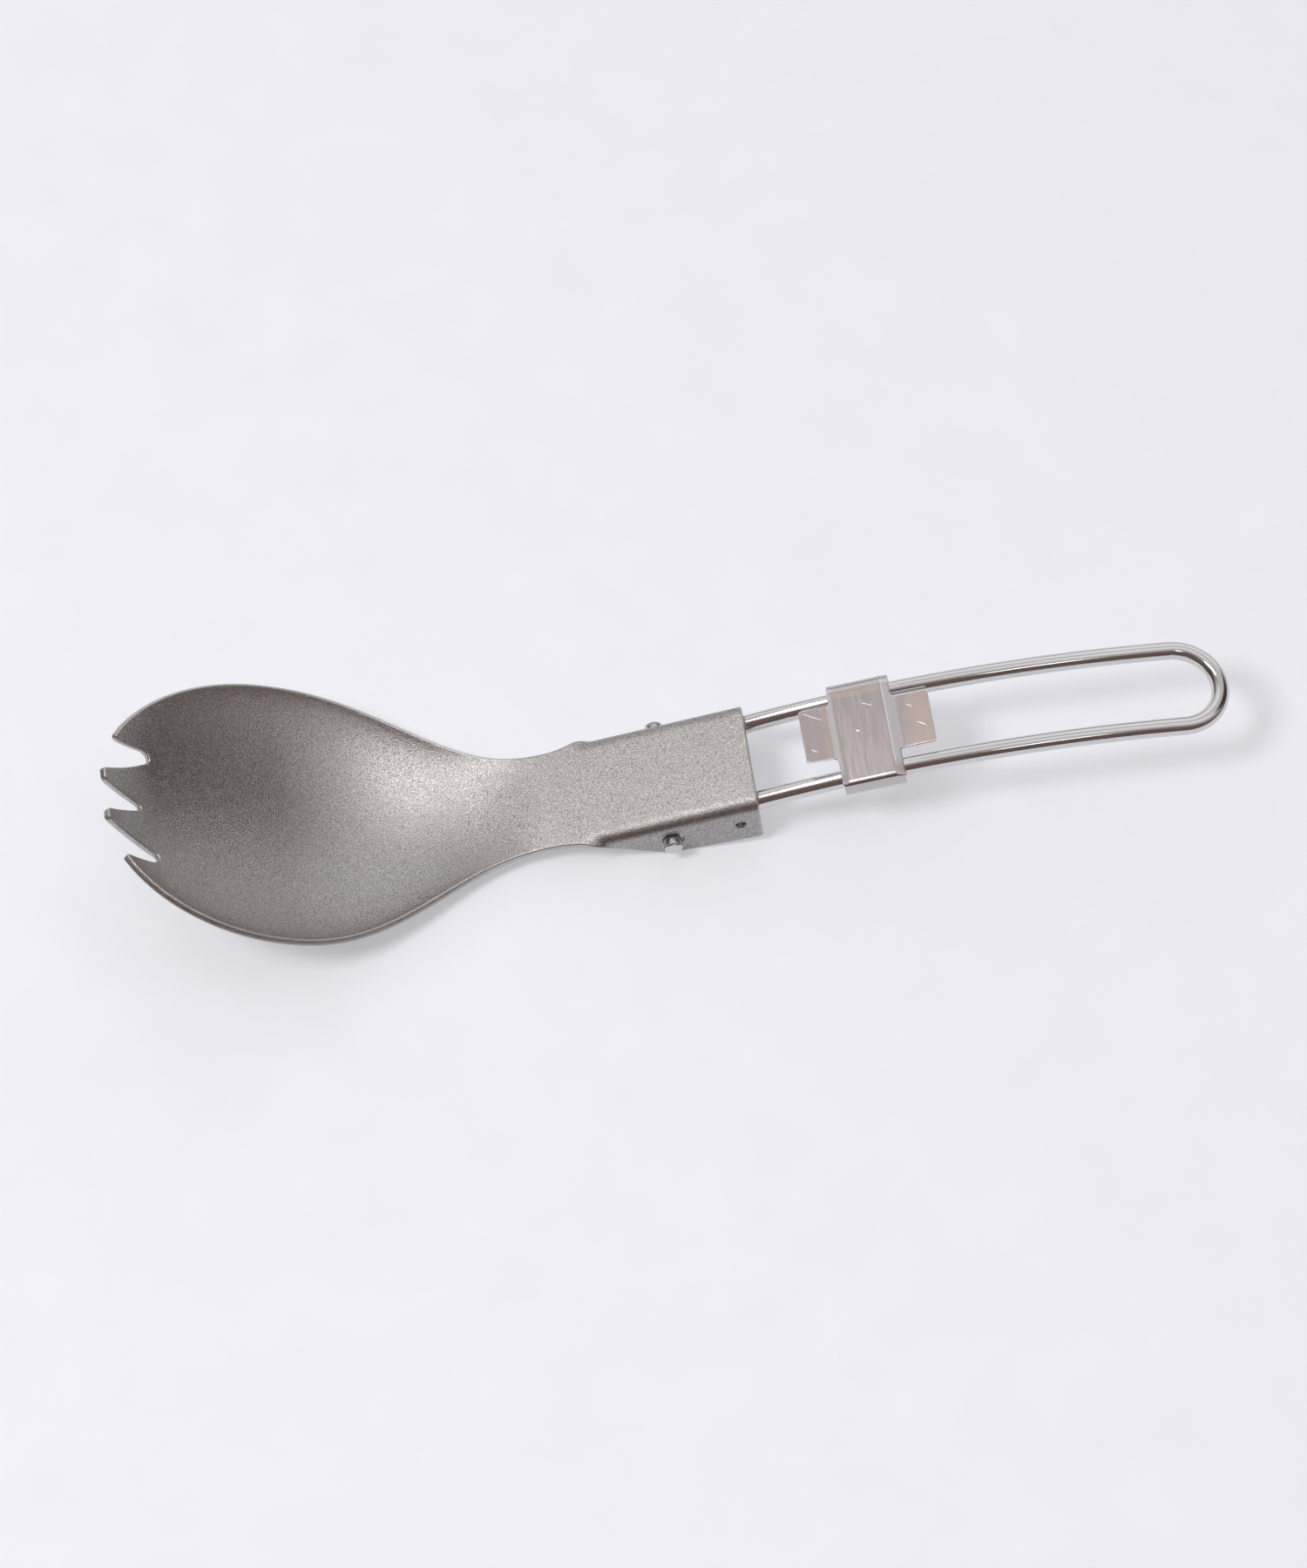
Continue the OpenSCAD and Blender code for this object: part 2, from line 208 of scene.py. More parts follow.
class HandleSizes(bpy.types.PropertyGroup):
    """Sizes of the bent wire handle."""

    wire_d: length("Wire", "Diameter of the wire", 2.6)
    leg_gap: length("Leg gap", "Distance between the legs' centre lines", 12.7)
    leg_curve_r: length("Leg curve", "Radius of the legs' long curve", 177)
    leg_start: angle("Leg start", "Slope of the legs where they leave the pivot", 19.6)
    leg_end: angle("Leg end", "Slope of the legs where the loop starts", -4.385)
    pin_bend_r: length("Pin bend", "Centre line radius of the bend from a leg to its pin", 1.4)
    pin_reach: length("Pin reach", "Distance from the middle to the end of a pin", 10.4)
    pin_chamfer: length("Pin chamfer", "Rounding at the pin ends", 0.25)
    cut_ridge: length("Cut ridge", "Height of the ridge that the cutter leaves on the pin ends", 0.12)


class LockSizes(bpy.types.PropertyGroup):
    """Sizes of the folded slide lock."""

    sheet: length("Sheet", "Thickness of the lock's sheet", 0.4)
    edge_r: length("Edge radius", "Radius of the sheet's edges", 0.1)
    plate_len: length("Plate length", "Length of the lock's plate along the legs", 9.0)
    place: length("Place", "Distance along the legs from the pivot to the lock's middle", 30.46)
    front_tab: length("Front tab", "Length of the front tab beyond the plate's end", 4.5)
    rear_tab: length("Rear tab", "Length of the rear tab beyond the plate's end", 5.2)
    tab_w: length("Tab width", "Width of the tabs", 8.6)
    front_climb: angle("Front climb", "Slope of the step up to the front tab", 17)
    front_step: length("Front step", "Length of the step up to the front tab", 1.2)
    front_inset: length("Front inset", "Length from the plate's front end in to the step's start", 0.6)
    front_knee: length("Front knee", "Reach of the front step's rounded bends", 0.25)
    front_bend: angle("Front bend", "Angle that the front tab is bent up by", 4)
    rear_fall: angle("Rear fall", "Slope of the step down to the rear tab", 24)
    rear_step: length("Rear step", "Length of the step down to the rear tab", 1.5)
    rear_inset: length("Rear inset", "Length from the plate's rear end in to the step's start", 1.1)
    rear_knee: length("Rear knee", "Reach of the rear step's rounded bends", 0.2)
    ride: length("Ride", "Height of the rolls' middles above the legs' centre lines", 0.3)
    left_out: length("Left out", "How far the left roll's middle lies outside the leg's centre line", 0.15)
    right_out: length("Right out", "How far the right roll's middle lies outside the leg's centre line", 0.5)
    right_bend_r: length("Right bend radius", "Radius of the tight bend along the plate's right edge", 0.65)
    tab_corner_r: length("Tab corner radius", "Radius of the tabs' corners", 0.4)
    root_corner_r: length("Root corner radius", "Radius of the corners between tabs and plate", 0.6)
    lip_wrap: angle("Lip wrap", "Angle that the lips wrap round the wire", 190)
    lock_gap: length("Lock gap", "Clearance between the lock and the wire", 0.38)
    spacing: length("Spacing", "Spacing of the surface's points", 0.24)


class Finishes(bpy.types.PropertyGroup):
    """Colours of the finishes."""

    titanium: tint("Titanium", "Blasted titanium", (0.390, 0.372, 0.359))
    titanium_worn: number("Titanium worn", "Share of the lightest grain's colour on the tumbled edges", 0.6)
    titanium_sheen: number("Titanium sheen", "Roughness where the titanium is smoothest", 0.28)
    titanium_rough: number("Titanium roughness", "Roughness where the titanium is roughest", 0.37)
    wire: tint("Wire", "Polished stainless wire", (0.700, 0.700, 0.695))
    wire_sheen: number("Wire sheen", "Roughness where the wire is smoothest", 0.09)
    wire_rough: number("Wire roughness", "Roughness where the wire is smeared", 0.15)
    wire_cut: number("Wire cut", "Roughness that the cut ends add", 0.22)
    lock: tint("Lock", "Satin stainless sheet", (0.535, 0.508, 0.498))
    lock_sheen: number("Lock sheen", "Roughness where the lock is smoothest", 0.13)
    lock_rough: number("Lock roughness", "Roughness where the lock is roughest", 0.20)
    lock_warm: tint("Lock warm tint", "Warm tint of the lock's tabs", (0.66, 0.56, 0.49))
    # Pale bluish colour of the painted highlights on the lock's bends and cut edges, and of its scratches
    lock_highlight_and_scratch: tint("Lock bare", "Bare bends and cut edges of the lock", (0.86, 0.88, 0.92))
    floor: tint("Floor", "Pale floor", (0.533, 0.543, 0.574))
    # The floor's glow is painted light: it gives off part of its own colour, which thins the shadows on it
    floor_glow: number("Floor glow", "Share of its own colour that the floor gives off", 0.68)


class StageSettings(bpy.types.PropertyGroup):
    """Camera, light and floor."""

    azimuth: angle("Azimuth", "Camera's turn from the front, to the right when positive", -8.13)
    elevation: angle("Elevation", "Camera's height above the horizon", 60)
    distance: length("Distance", "Distance from the camera to its aim", 681)
    lens: number("Lens", "Focal length for a 36 mm long side, in millimetres", 108.54)
    aim: position("Aim", "Point that the camera looks at", (-2.7, 0.6, 3.9))
    floor_size: length("Floor size", "Side of the floor", 4000)
    floor_drop: length("Floor drop", "How far the floor lies below height 0, where the spork rests", 0.02)
    box_distance: length("Box distance", "Distance of the soft boxes", 1400)
    over_place: position("Overhead place", "Middle of the overhead strip light", (-84, 60, 330))
    over_turn: angle("Overhead turn", "Turn of the overhead strip from straight across the spork", -14.8)
    over_width: length("Overhead width", "Width of the overhead strip light", 50)
    over_length: length("Overhead length", "Length of the overhead strip light", 165)
    over_power: number("Overhead power", "Power of the overhead strip light in watts", 0.22)
    key_way: direction("Key way", "Direction of the box that casts the shadows", (-0.506, -0.188, 0.842))
    key_size: length("Key size", "Side of the small soft box", 380)
    key_power: number("Key power", "Power of the small soft box on the floor in watts", 10.0)
    key_gleam: number("Key gleam", "Power of the small soft box in the metal's reflections in watts", 2.3)
    front_way: direction("Front way", "Direction of the box in front", (0.13, -0.54, 0.83))
    front_width: length("Front width", "Width of the box in front", 250)
    front_height: length("Front height", "Height of the box in front", 150)
    front_power: number("Front power", "Power of the box in front in watts", 0.35)
    bright_way: direction("Bright way", "Direction of the room's bright side", (0.32, 0.602, 0.731))
    room_from: number("Room from", "Lean towards the bright side where the room starts to brighten", 0.12)
    room_to: number("Room to", "Lean towards the bright side where the room is brightest", 1.0)
    room_dark: tint("Room dark", "Colour of the room's dark side", (0.160, 0.108, 0.097))
    room_bright: tint("Room bright", "Colour of the room's bright side", (0.97, 0.97, 1.0))
    band_from: number("Band from", "Lean off a dim band up to which it is dimmest", 0.1)
    band_to: number("Band to", "Lean off a dim band where it ends", 0.28)
    rear_band: direction("Rear band", "Direction at right angles to the dim band behind", (0, 0.883, -0.469))
    rear_tint: tint("Rear tint", "What is left of the room's colour in that band", (0.68, 0.635, 0.62))
    spot_way: direction("Spot way", "Direction of the room's dark spot", (0.83, 0.28, 0.48))
    spot_from: number("Spot from", "Lean towards the dark spot where it starts", 0.90)
    spot_to: number("Spot to", "Lean towards the dark spot where it is darkest", 0.97)
    spot_tint: tint("Spot tint", "What is left of the room's colour in the dark spot", (0.10, 0.07, 0.06))
    low_from: number("Low from", "Sine of the height up to which the room's foot is dimmest", 0.08)
    low_to: number("Low to", "Sine of the height where the room's foot ends", 0.34)
    low_tint: tint("Low tint", "What is left of the room's colour at its foot", (0.60, 0.51, 0.485))
    room_strength: number("Room strength", "Brightness of the room", 1.05)


# Surfaces


def smooth(t):
    """Smooth step: 0 below 0, 1 above 1, and 3 t^2 - 2 t^3 between."""
    c = np.clip(t, 0, 1)
    return c * c * (3 - 2 * c)


def ramp(t, reach):
    """Straight rise with a rounded knee: 0 before -reach, t after +reach, and a parabola between."""
    return np.where(t < -reach, 0, np.where(t > reach, t, (t + reach) ** 2 / (4 * reach)))


def unit(v):
    """Vectors along the last axis, brought to length 1."""
    return v / np.linalg.norm(v, axis=-1, keepdims=True)


def rounded(corners, radii, closed, steps=14):
    """Path through corner points, each turned into an arc that touches both of its edges.

    The arc's centre lies on the corner's middle line, radius / sin(half angle) from the corner. An open
    path keeps its first and last point, which take no radius.
    """
    if closed:
        corners = np.concatenate([corners[-1:], corners, corners[:1]])
    pieces = [] if closed else [corners[:1]]
    for before, corner, after, radius in zip(corners, corners[1:], corners[2:], radii):
        back, ahead = unit(before - corner), unit(after - corner)
        middle, side = unit(back + ahead), unit(ahead - back)
        half = math.acos(np.dot(back, middle))
        turn = np.linspace(half - math.pi / 2, math.pi / 2 - half, steps)[:, None]
        centre = corner + middle * radius / math.sin(half)
        pieces.append(centre + radius * (np.sin(turn) * side - np.cos(turn) * middle))
    if not closed:
        pieces.append(corners[-1:])
    return np.concatenate(pieces)


def spaced(path, step):
    """The path with points added so that none are further apart than step, and near doubles left out."""
    along = np.concatenate([[0], np.cumsum(np.linalg.norm(np.diff(path, axis=0), axis=1))])
    count = max(2, int(math.ceil(along[-1] / step)) + 1)
    stations = np.union1d(along, np.linspace(0, along[-1], count))
    near = step / 12
    keep = np.concatenate([[True], np.diff(stations) > near])
    keep[-1] = True
    stations = stations[keep]
    return np.stack([np.interp(stations, along, path[:, k]) for k in range(path.shape[1])], 1)


def inside(points, loops):
    """True for points inside an odd number of the closed loops, by counting the edges that a ray crosses."""
    starts = np.concatenate(loops)
    ends = np.concatenate([np.roll(loop, -1, axis=0) for loop in loops])
    crossed = []
    for x, w in (part.T[:, :, None] for part in np.array_split(points, len(points) // CHUNK + 1)):
        spans = (starts[:, 1] > w) != (ends[:, 1] > w)
        run = ends[:, 1] - starts[:, 1]
        meet = starts[:, 0] + (w - starts[:, 1]) * (ends[:, 0] - starts[:, 0]) / np.where(run == 0, 1, run)
        crossed.append((spans & (x < meet)).sum(1) % 2 == 1)
    return np.concatenate(crossed)


def nearest(points, others):
    """Distance from each point to the nearest of the others."""
    found = []
    for part in np.array_split(points, len(points) // CHUNK + 1):
        apart = part[:, None] - others[None]
        found.append(np.sqrt((apart**2).sum(2).min(1)))
    return np.concatenate(found)


def outward(loop):
    """Unit normals of a closed loop in its plane, pointing right of the way it runs."""
    along = unit(np.roll(loop, -1, axis=0) - np.roll(loop, 1, axis=0))
    return np.stack([along[:, 1], -along[:, 0]], 1)


def edge_profile(radius, thickness, steps=5):
    """Rounded edge of a sheet: two quarter arcs with a wall between.

    Each row is (offset outwards, depth below the upper skin).
    """
    turn = np.linspace(0, math.pi / 2, steps)
    offset, depth = radius * np.sin(turn), radius * (1 - np.cos(turn))
    offsets = np.concatenate([offset, offset[::-1]])
    depths = np.concatenate([depth, thickness - depth[::-1]])
    return np.stack([offsets, depths], 1)


def blank_points(loops, radii, extra, spacing):
    """Points of a flat blank: its rims, guard points beside them, the extra points and a staggered grid.

    Gives the points, the rims, and the indices of each rim's points.
    """
    rims = [loop - radius * outward(loop) for loop, radius in zip(loops, radii)]
    offset = GUARD_OFFSET * spacing
    guards = [loop - (radius + offset) * outward(loop) for loop, radius in zip(loops, radii)]
    low, high = loops[0].min(0), loops[0].max(0)
    columns = np.arange(low[0], high[0], spacing)
    reach = math.ceil(max(high[1], -low[1]) / spacing) * spacing
    rows = np.arange(-reach, reach + spacing / 2, spacing)
    grid = np.stack(np.meshgrid(columns, rows, indexing="ij"), -1)
    grid[1::2, :, 1] += spacing / 2
    grid = grid.reshape(-1, 2)
    taken = np.concatenate(guards + [extra])
    guard_points = np.concatenate(guards)
    guard_points = guard_points[inside(guard_points, rims)]
    guard_points = guard_points[nearest(guard_points, np.concatenate(rims)) > GUARD_CLEAR * spacing]
    grid = grid[inside(grid, rims)]
    grid = grid[nearest(grid, np.concatenate(rims)) > GRID_CLEAR_RIM * spacing]
    grid = grid[nearest(grid, taken) > GRID_CLEAR_GUARD * spacing]
    flat = np.concatenate(rims + [guard_points, extra, grid])
    counts = [len(rim) for rim in rims]
    firsts = np.concatenate([[0], np.cumsum(counts)[:-1]])
    rings = [first + np.arange(count) for first, count in zip(firsts, counts)]
    return flat, rims, rings


def join_blank(name, flat, rims, rings, spacing):
    """Triangles between a blank's points, without those outside its rim or in its holes."""
    edges = np.concatenate([np.stack([ring, np.roll(ring, -1)], 1) for ring in rings])
    unit_flat = flat / spacing
    whole_hull, tolerance = 0, 1e-6
    made = delaunay_2d_cdt(list(map(Vector, unit_flat)), edges.tolist(), [], whole_hull, tolerance)
    if len(made[0]) != len(flat):
        places = [tuple(round(c * spacing / MM, 3) for c in point) for point in made[0][len(flat):]]
        raise RuntimeError(f"{name}: {len(made[0]) - len(flat)} points more than the blank has, at {places}")
    triangles = np.array(made[2])
    return triangles[inside(flat[triangles].mean(1), rims)]


def sheet_mesh(name, skin, press, loops, radii, extra, thickness, spacing):
    """Closed sheet with rounded edges, pressed from a flat blank.

    skin(x, w) is the upper skin as a function of two parameters. It is sampled on points inside the
    blank's loops, joined into triangles, and the lower skin lies one thickness below it along the normals.
    press(x, w) gives how far each skin is dented. Along each loop an edge profile is carried. The first
    loop runs round the blank with its inside on the left, and the others round its holes with the hole on
    the right.
    """
    flat, rims, rings = blank_points(loops, radii, extra, spacing)
    triangles = join_blank(name, flat, rims, rings, spacing)
    x, w = flat.T
    step = 0.01 * MM
    normals = unit(np.cross(skin(x + step, w) - skin(x - step, w), skin(x, w + step) - skin(x, w - step)))
    upper_press, lower_press = press(x, w)
    middle = skin(x, w)
    upper = middle - upper_press[:, None] * normals
    lower = middle - (thickness + lower_press)[:, None] * normals
    count = len(flat)
    points, quads, edge_share = [upper, lower], [], [np.zeros(2 * count)]
    total = 2 * count
    for ring, radius in zip(rings, radii):
        profile = edge_profile(radius, thickness)[1:-1]
        line = middle[ring]
        along = unit(np.roll(line, -1, axis=0) - np.roll(line, 1, axis=0))
        out = unit(np.cross(along, normals[ring]))
        wall = line + profile[:, :1, None] * out - profile[:, 1:, None] * normals[ring]
        indices = total + np.arange(wall.shape[0] * len(ring)).reshape(wall.shape[0], len(ring))
        stack = np.concatenate([ring[None], indices, ring[None] + count])
        above, below = stack[:-1], stack[1:]
        cells = np.stack([above, below, np.roll(below, -1, 1), np.roll(above, -1, 1)], -1)
        quads.append(cells.reshape(-1, 4))
        points.append(wall.reshape(-1, 3))
        edge_share.append(np.ones(indices.size))
        total += indices.size
    faces = [triangles, triangles[:, ::-1] + count]
    mesh = put_mesh(name, np.concatenate(points), np.concatenate(faces), np.concatenate(quads))
    worn = mesh.attributes.new("edge", "FLOAT", "POINT")
    worn.data.foreach_set("value", np.concatenate(edge_share).astype(np.float32))
    return mesh


def undented(x, w):
    """No dents in either skin."""
    return 0 * x, 0 * x


def put_mesh(name, points, triangles, quads):
    """Mesh from arrays, set down from the pivot's frame into the row's frame, and shaded smooth."""
    mesh = bpy.data.meshes.new(name)
    mesh.vertices.add(len(points))
    mesh.vertices.foreach_set("co", (points + PIVOT).astype(np.float32).ravel())
    corners = np.concatenate([triangles.ravel(), quads.ravel()]).astype(np.int32)
    mesh.loops.add(len(corners))
    mesh.loops.foreach_set("vertex_index", corners)
    sides = np.concatenate([np.full(len(triangles), 3), np.full(len(quads), 4)])
    mesh.polygons.add(len(sides))
    mesh.polygons.foreach_set("loop_start", (np.cumsum(sides) - sides).astype(np.int32))
    mesh.update(calc_edges=True)
    if mesh.validate():
        raise RuntimeError(f"{name}: the mesh had faults")
    mesh.shade_smooth()
    return mesh


def put_object(name, mesh, material, body, node):
    """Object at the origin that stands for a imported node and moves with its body."""
    piece = bpy.data.objects.new(name, mesh)
    bpy.context.scene.collection.objects.link(piece)
    mesh.materials.append(material)
    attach(piece, body)
    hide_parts(node)


class LegLine:
    """The handle's legs seen from the side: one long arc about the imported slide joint's axis."""

    def __init__(self, handle):
        self.wire_r = handle.wire_d / 2
        self.leg_y = handle.leg_gap / 2
        self.radius = handle.leg_curve_r
        self.start, self.end = handle.leg_start, handle.leg_end

    def point(self, slope, y):
        """Point of a leg's centre line where it has this slope: centre + radius * (-sin, cos)."""
        x = LEG_CENTRE[0] - self.radius * np.sin(slope)
        z = LEG_CENTRE[2] + self.radius * np.cos(slope)
        return np.stack([x, y + 0 * x, z], -1)

    def top(self, x):
        """Height of the wire's top above the pivot, at x."""
        slope = math.asin((LEG_CENTRE[0] - x) / self.radius)
        return LEG_CENTRE[2] + self.radius * math.cos(slope) + self.wire_r / math.cos(slope)


class HeadForm:
    """The head's upper skin as a function of x along the spork and w across the flat blank."""

    def __init__(self, sizes, legs):
        self.s = sizes
        self.channel_in = legs.leg_y + legs.wire_r + sizes.side_gap
        self.channel_out = self.channel_in + sizes.sheet
        self.fold_y = self.channel_out - sizes.bend_r
        self.slope = math.tan(sizes.plate_tilt)
        self.rear_z = legs.top(sizes.plate_rear) + sizes.stop_gap + sizes.sheet / math.cos(sizes.plate_tilt)
        self.x_neck = -sizes.neck_back
        self.x_wide = self.x_neck - sizes.bowl_rear
        self.x_front = self.x_wide - sizes.bowl_front
        self.x_throat = self.x_neck - sizes.throat_back
        self.x_join = -sizes.cheek_front

    def plate_z(self, x):
        """Height of the channel's top plate: a straight slope."""
        return self.rear_z + self.slope * (x - self.s.plate_rear)

    def rim_z(self, x):
        """Height of the rim: level at the throat, rising along the top plate and towards the tines."""
        rise = math.tan(self.s.rim_rise) * ramp(-self.s.rim_knee - x, self.s.rim_knee_reach)
        return self.plate_z(self.x_throat) + rise + self.slope * ramp(x - self.x_throat, self.s.throat_reach)

    def tine_lift(self, x, w):
        """Height that the tines turn up by: a gentle curve to the front end, less at the outer tines."""
        s = self.s
        reach = np.maximum(1 - (x - self.x_front) / s.tip_reach, 0) ** s.tip_power
        outer = smooth(2 * np.abs(w) / s.side_notch_y - 1)
        return s.tip_lift * reach * (1 - (1 - s.tip_share) * outer)

    def shares(self, x):
        """How far x lies from the widest part towards the front end and towards the neck, from 0 to 1."""
        front = np.clip((self.x_wide - x) / self.s.bowl_front, 0, 1)
        rear = np.clip((x - self.x_wide) / self.s.bowl_rear, 0, 1)
        return front, rear

    def half_width(self, x):
        """Half width of the flat blank: a half ellipse, a smooth waist, then a flare into the cheeks."""
        front, rear = self.shares(x)
        bowl, neck = self.s.bowl_w / 2, self.s.neck_w / 2
        waist = neck + (bowl - neck) * (1 - rear**self.s.waist_hold) ** self.s.waist_fall
        flare = self.s.neck_flare * (np.maximum(x - self.x_neck, 0) / (self.x_join - self.x_neck)) ** 2
        return np.where(x < self.x_wide, bowl * np.sqrt(1 - front**2), waist + flare)

    def middle_depth(self, x):
        """Depth of the middle line below the rim, from the widest part to both ends."""
        front, rear = self.shares(x)
        to_front = (1 - front**2) ** self.s.front_power
        to_neck = (1 - rear**2) ** self.s.rear_power
        return self.s.bowl_depth * np.where(x < self.x_wide, to_front, to_neck)

    def fold_angle(self, x):
        """Angle that the blank's edges are turned down by: 0 at the neck, a right angle at the cheeks."""
        return math.pi / 2 * smooth((x - self.x_join) / self.s.fold_start + 1)

    def folded(self, w, turn):
        """Distance from the middle and drop of a blank's point once its edge is rolled down by the turn."""
        r = self.s.bend_r
        past = np.maximum(w - self.fold_y, 0)
        a = np.minimum(past / r, turn)
        rest = past - r * a
        out = np.minimum(w, self.fold_y) + r * np.sin(a) + rest * np.cos(a)
        return out, r * (1 - np.cos(a)) + rest * np.sin(a)

    def skin(self, x, w):
        """Upper skin: the rim's height and the tines' lift, less the fold's drop and the bowl's depth.

        The depth across the bowl is the middle line's depth times (1 - v^2)^fullness.
        """
        v = np.clip(np.abs(w) / np.maximum(self.half_width(x), TINY), 0, 1)
        out, drop = self.folded(np.abs(w), self.fold_angle(x))
        bowl = self.middle_depth(x) * (1 - v**2) ** self.s.bowl_fullness
        return np.stack([x, np.sign(w) * out, self.rim_z(x) + self.tine_lift(x, w) - drop - bowl], -1)

    def cheek_w(self, x, z):
        """Place on the blank of a cheek's point, from its height."""
        return self.fold_y + self.s.bend_r * (math.pi / 2 - 1) + self.rim_z(x) - z

    def cheek_z(self, x, w):
        """Height of a cheek's point, from its place on the blank."""
        return self.rim_z(x) - (np.abs(w) - self.fold_y - self.s.bend_r * (math.pi / 2 - 1))

    def tine_corners(self):
        """Corners of one half of the tines: both notch roots, the blunt middle tip and the outer tip."""
        s = self.s
        low, high = math.tan(s.side_inner_angle), math.tan(s.side_outer_angle)
        mid = math.tan(s.middle_angle)
        middle_root = s.middle_notch - s.notch_r + s.notch_r / math.sin(s.middle_angle)
        side_x, side_w = s.side_notch - s.notch_r, s.side_notch_y
        inner_0 = side_w - s.notch_r / math.cos(s.side_inner_angle) - low * side_x
        outer_0 = side_w + s.notch_r / math.cos(s.side_outer_angle) + high * side_x
        tip_x = s.tip_trim
        root_x = (outer_0 - inner_0) / (low + high)
        # The outer tip lies on the bowl's ellipse, found by a few steps along the notch's straight edge
        end_x = s.middle_notch / 2
        for _ in range(8):
            end_w = outer_0 - high * end_x
            end_x = s.bowl_front * (1 - math.sqrt(1 - (2 * end_w / s.bowl_w) ** 2))
        corners = [
            (middle_root, 0),
            (tip_x, mid * (middle_root - tip_x)),
            (tip_x, inner_0 + low * tip_x),
            (root_x, outer_0 - high * root_x),
            (end_x, end_w),
        ]
        radii = [s.middle_root_r, s.tip_r, s.tip_r, s.side_root_r, s.tine_r]
        return np.array(corners) + [self.x_front, 0], radii

    def touch(self, point, turn):
        """Angle on the ear's circle where a straight edge from a point outside runs on to it."""
        bearing = math.atan2(point[1], point[0]) + turn * math.acos(self.s.ear_r / math.hypot(*point))
        return bearing % (2 * math.pi) - 2 * math.pi

    def outline(self):
        """Closed outline of the blank: tines, rim, neck, cheeks and rear edge, mirrored about the middle."""
        s = self.s
        # The roundings of the outer tips and of the rear corners aim at points along the next edge
        rim_aim, rim_start, rear_aim = 12, 16, 30
        tines, radii = self.tine_corners()
        turn = np.linspace(math.asin(2 * tines[-1, 1] / s.bowl_w), math.pi / 2, RIM_POINTS)
        rim = np.stack([self.x_wide - s.bowl_front * np.cos(turn), s.bowl_w / 2 * np.sin(turn)], 1)
        mirrored = tines[1] * [1, -1]
        corners = np.concatenate([mirrored[None], tines, rim[rim_aim][None]])
        front = rounded(corners, radii, closed=False)[1:-1]
        front = front[front[:, 1] >= 0]
        neck_x = np.linspace(self.x_wide, self.x_join, NECK_POINTS)[1:]
        neck = np.stack([neck_x, self.half_width(neck_x)], 1)
        rear_low = np.array([s.cheek_rear, -s.cheek_rear_drop])
        start = np.array([self.x_join, self.rim_z(self.x_join) - s.bend_r])
        ear = np.linspace(self.touch(start, 1), self.touch(rear_low, -1), EAR_POINTS)
        ear_x, ear_z = s.ear_r * np.cos(ear), s.ear_r * np.sin(ear)
        ear_flat = np.stack([ear_x, self.cheek_w(ear_x, ear_z)], 1)
        corner = np.array([s.cheek_rear, self.cheek_w(s.cheek_rear, -s.cheek_rear_drop)])
        lean = (s.cheek_rear - s.plate_rear) / (self.rear_z + s.cheek_rear_drop)
        rear_w = np.linspace(corner[1], 0, REAR_POINTS)
        drop = self.folded(rear_w, math.pi / 2)[1]
        rear = np.stack([s.plate_rear + lean * drop, rear_w], 1)
        corners = np.array([ear_flat[-1], corner, rear[rear_aim]])
        rear_corner = rounded(corners, [s.cheek_corner_r], closed=False)[1:-1]
        rear = rear[rear[:, 1] < rear_corner[-1, 1]]
        half = np.concatenate([front, rim[rim_start:], neck, ear_flat, rear_corner, rear])
        half = spaced(half, HEAD_EDGE_STEP * s.spacing)
        half[0, 1] = half[-1, 1] = 0
        other = half[-2:0:-1] * [1, -1]
        return np.concatenate([half, other])[::-1]


class SPORK_OT_head(bpy.types.Operator):
    """Press the blasted titanium head from its blank"""

    bl_idname = "spork.head"
    bl_label = "Head"

    def execute(self, context):
        sizes = context.scene.spork_head
        form = HeadForm(sizes, LegLine(context.scene.spork_handle))
        loops, radii = [form.outline()], [sizes.edge_r]
        turn = np.linspace(0, 2 * math.pi, HOLE_POINTS, endpoint=False)
        hole_r = sizes.pivot_hole_d / 2
        for side in (1, -1):
            x, z = sizes.hole_shift + hole_r * np.cos(turn), hole_r * np.sin(turn)
            loops.append(np.stack([x, side * form.cheek_w(x, z)], 1)[::side])
            radii.append(sizes.hole_edge_r)
        rings = np.array(DIMPLE_RINGS) * sizes.dimple_d / 2
        ring_turn = np.linspace(0, 2 * math.pi, DIMPLE_POINTS, endpoint=False)
        ring_x = sizes.dimple_x + np.outer(rings, np.cos(ring_turn)).ravel()
        ring_w = form.cheek_w(ring_x, sizes.dimple_z + np.outer(rings, np.sin(ring_turn)).ravel())
        extra = np.concatenate([np.stack([ring_x, ring_w], 1), np.stack([ring_x, -ring_w], 1)])

        def press(x, w):
            """Dents of both skins at the dimples: full depth on the floor, easing up the wall to nothing."""
            above = form.cheek_z(x, w) - sizes.dimple_z
            away = np.hypot(x - sizes.dimple_x, above) / (sizes.dimple_d / 2)
            dent = 1 - smooth((away - sizes.dimple_floor) / (1 - sizes.dimple_floor))
            return sizes.dimple_depth * dent, sizes.nub_h * dent

        mesh = sheet_mesh(
            "spork_head_sheet", form.skin, press, loops, radii, extra, sizes.sheet, sizes.spacing)
        put_object("spork_head_sheet", mesh, titanium(context.scene.spork_finishes), "head", "spork_head")
        return {"FINISHED"}


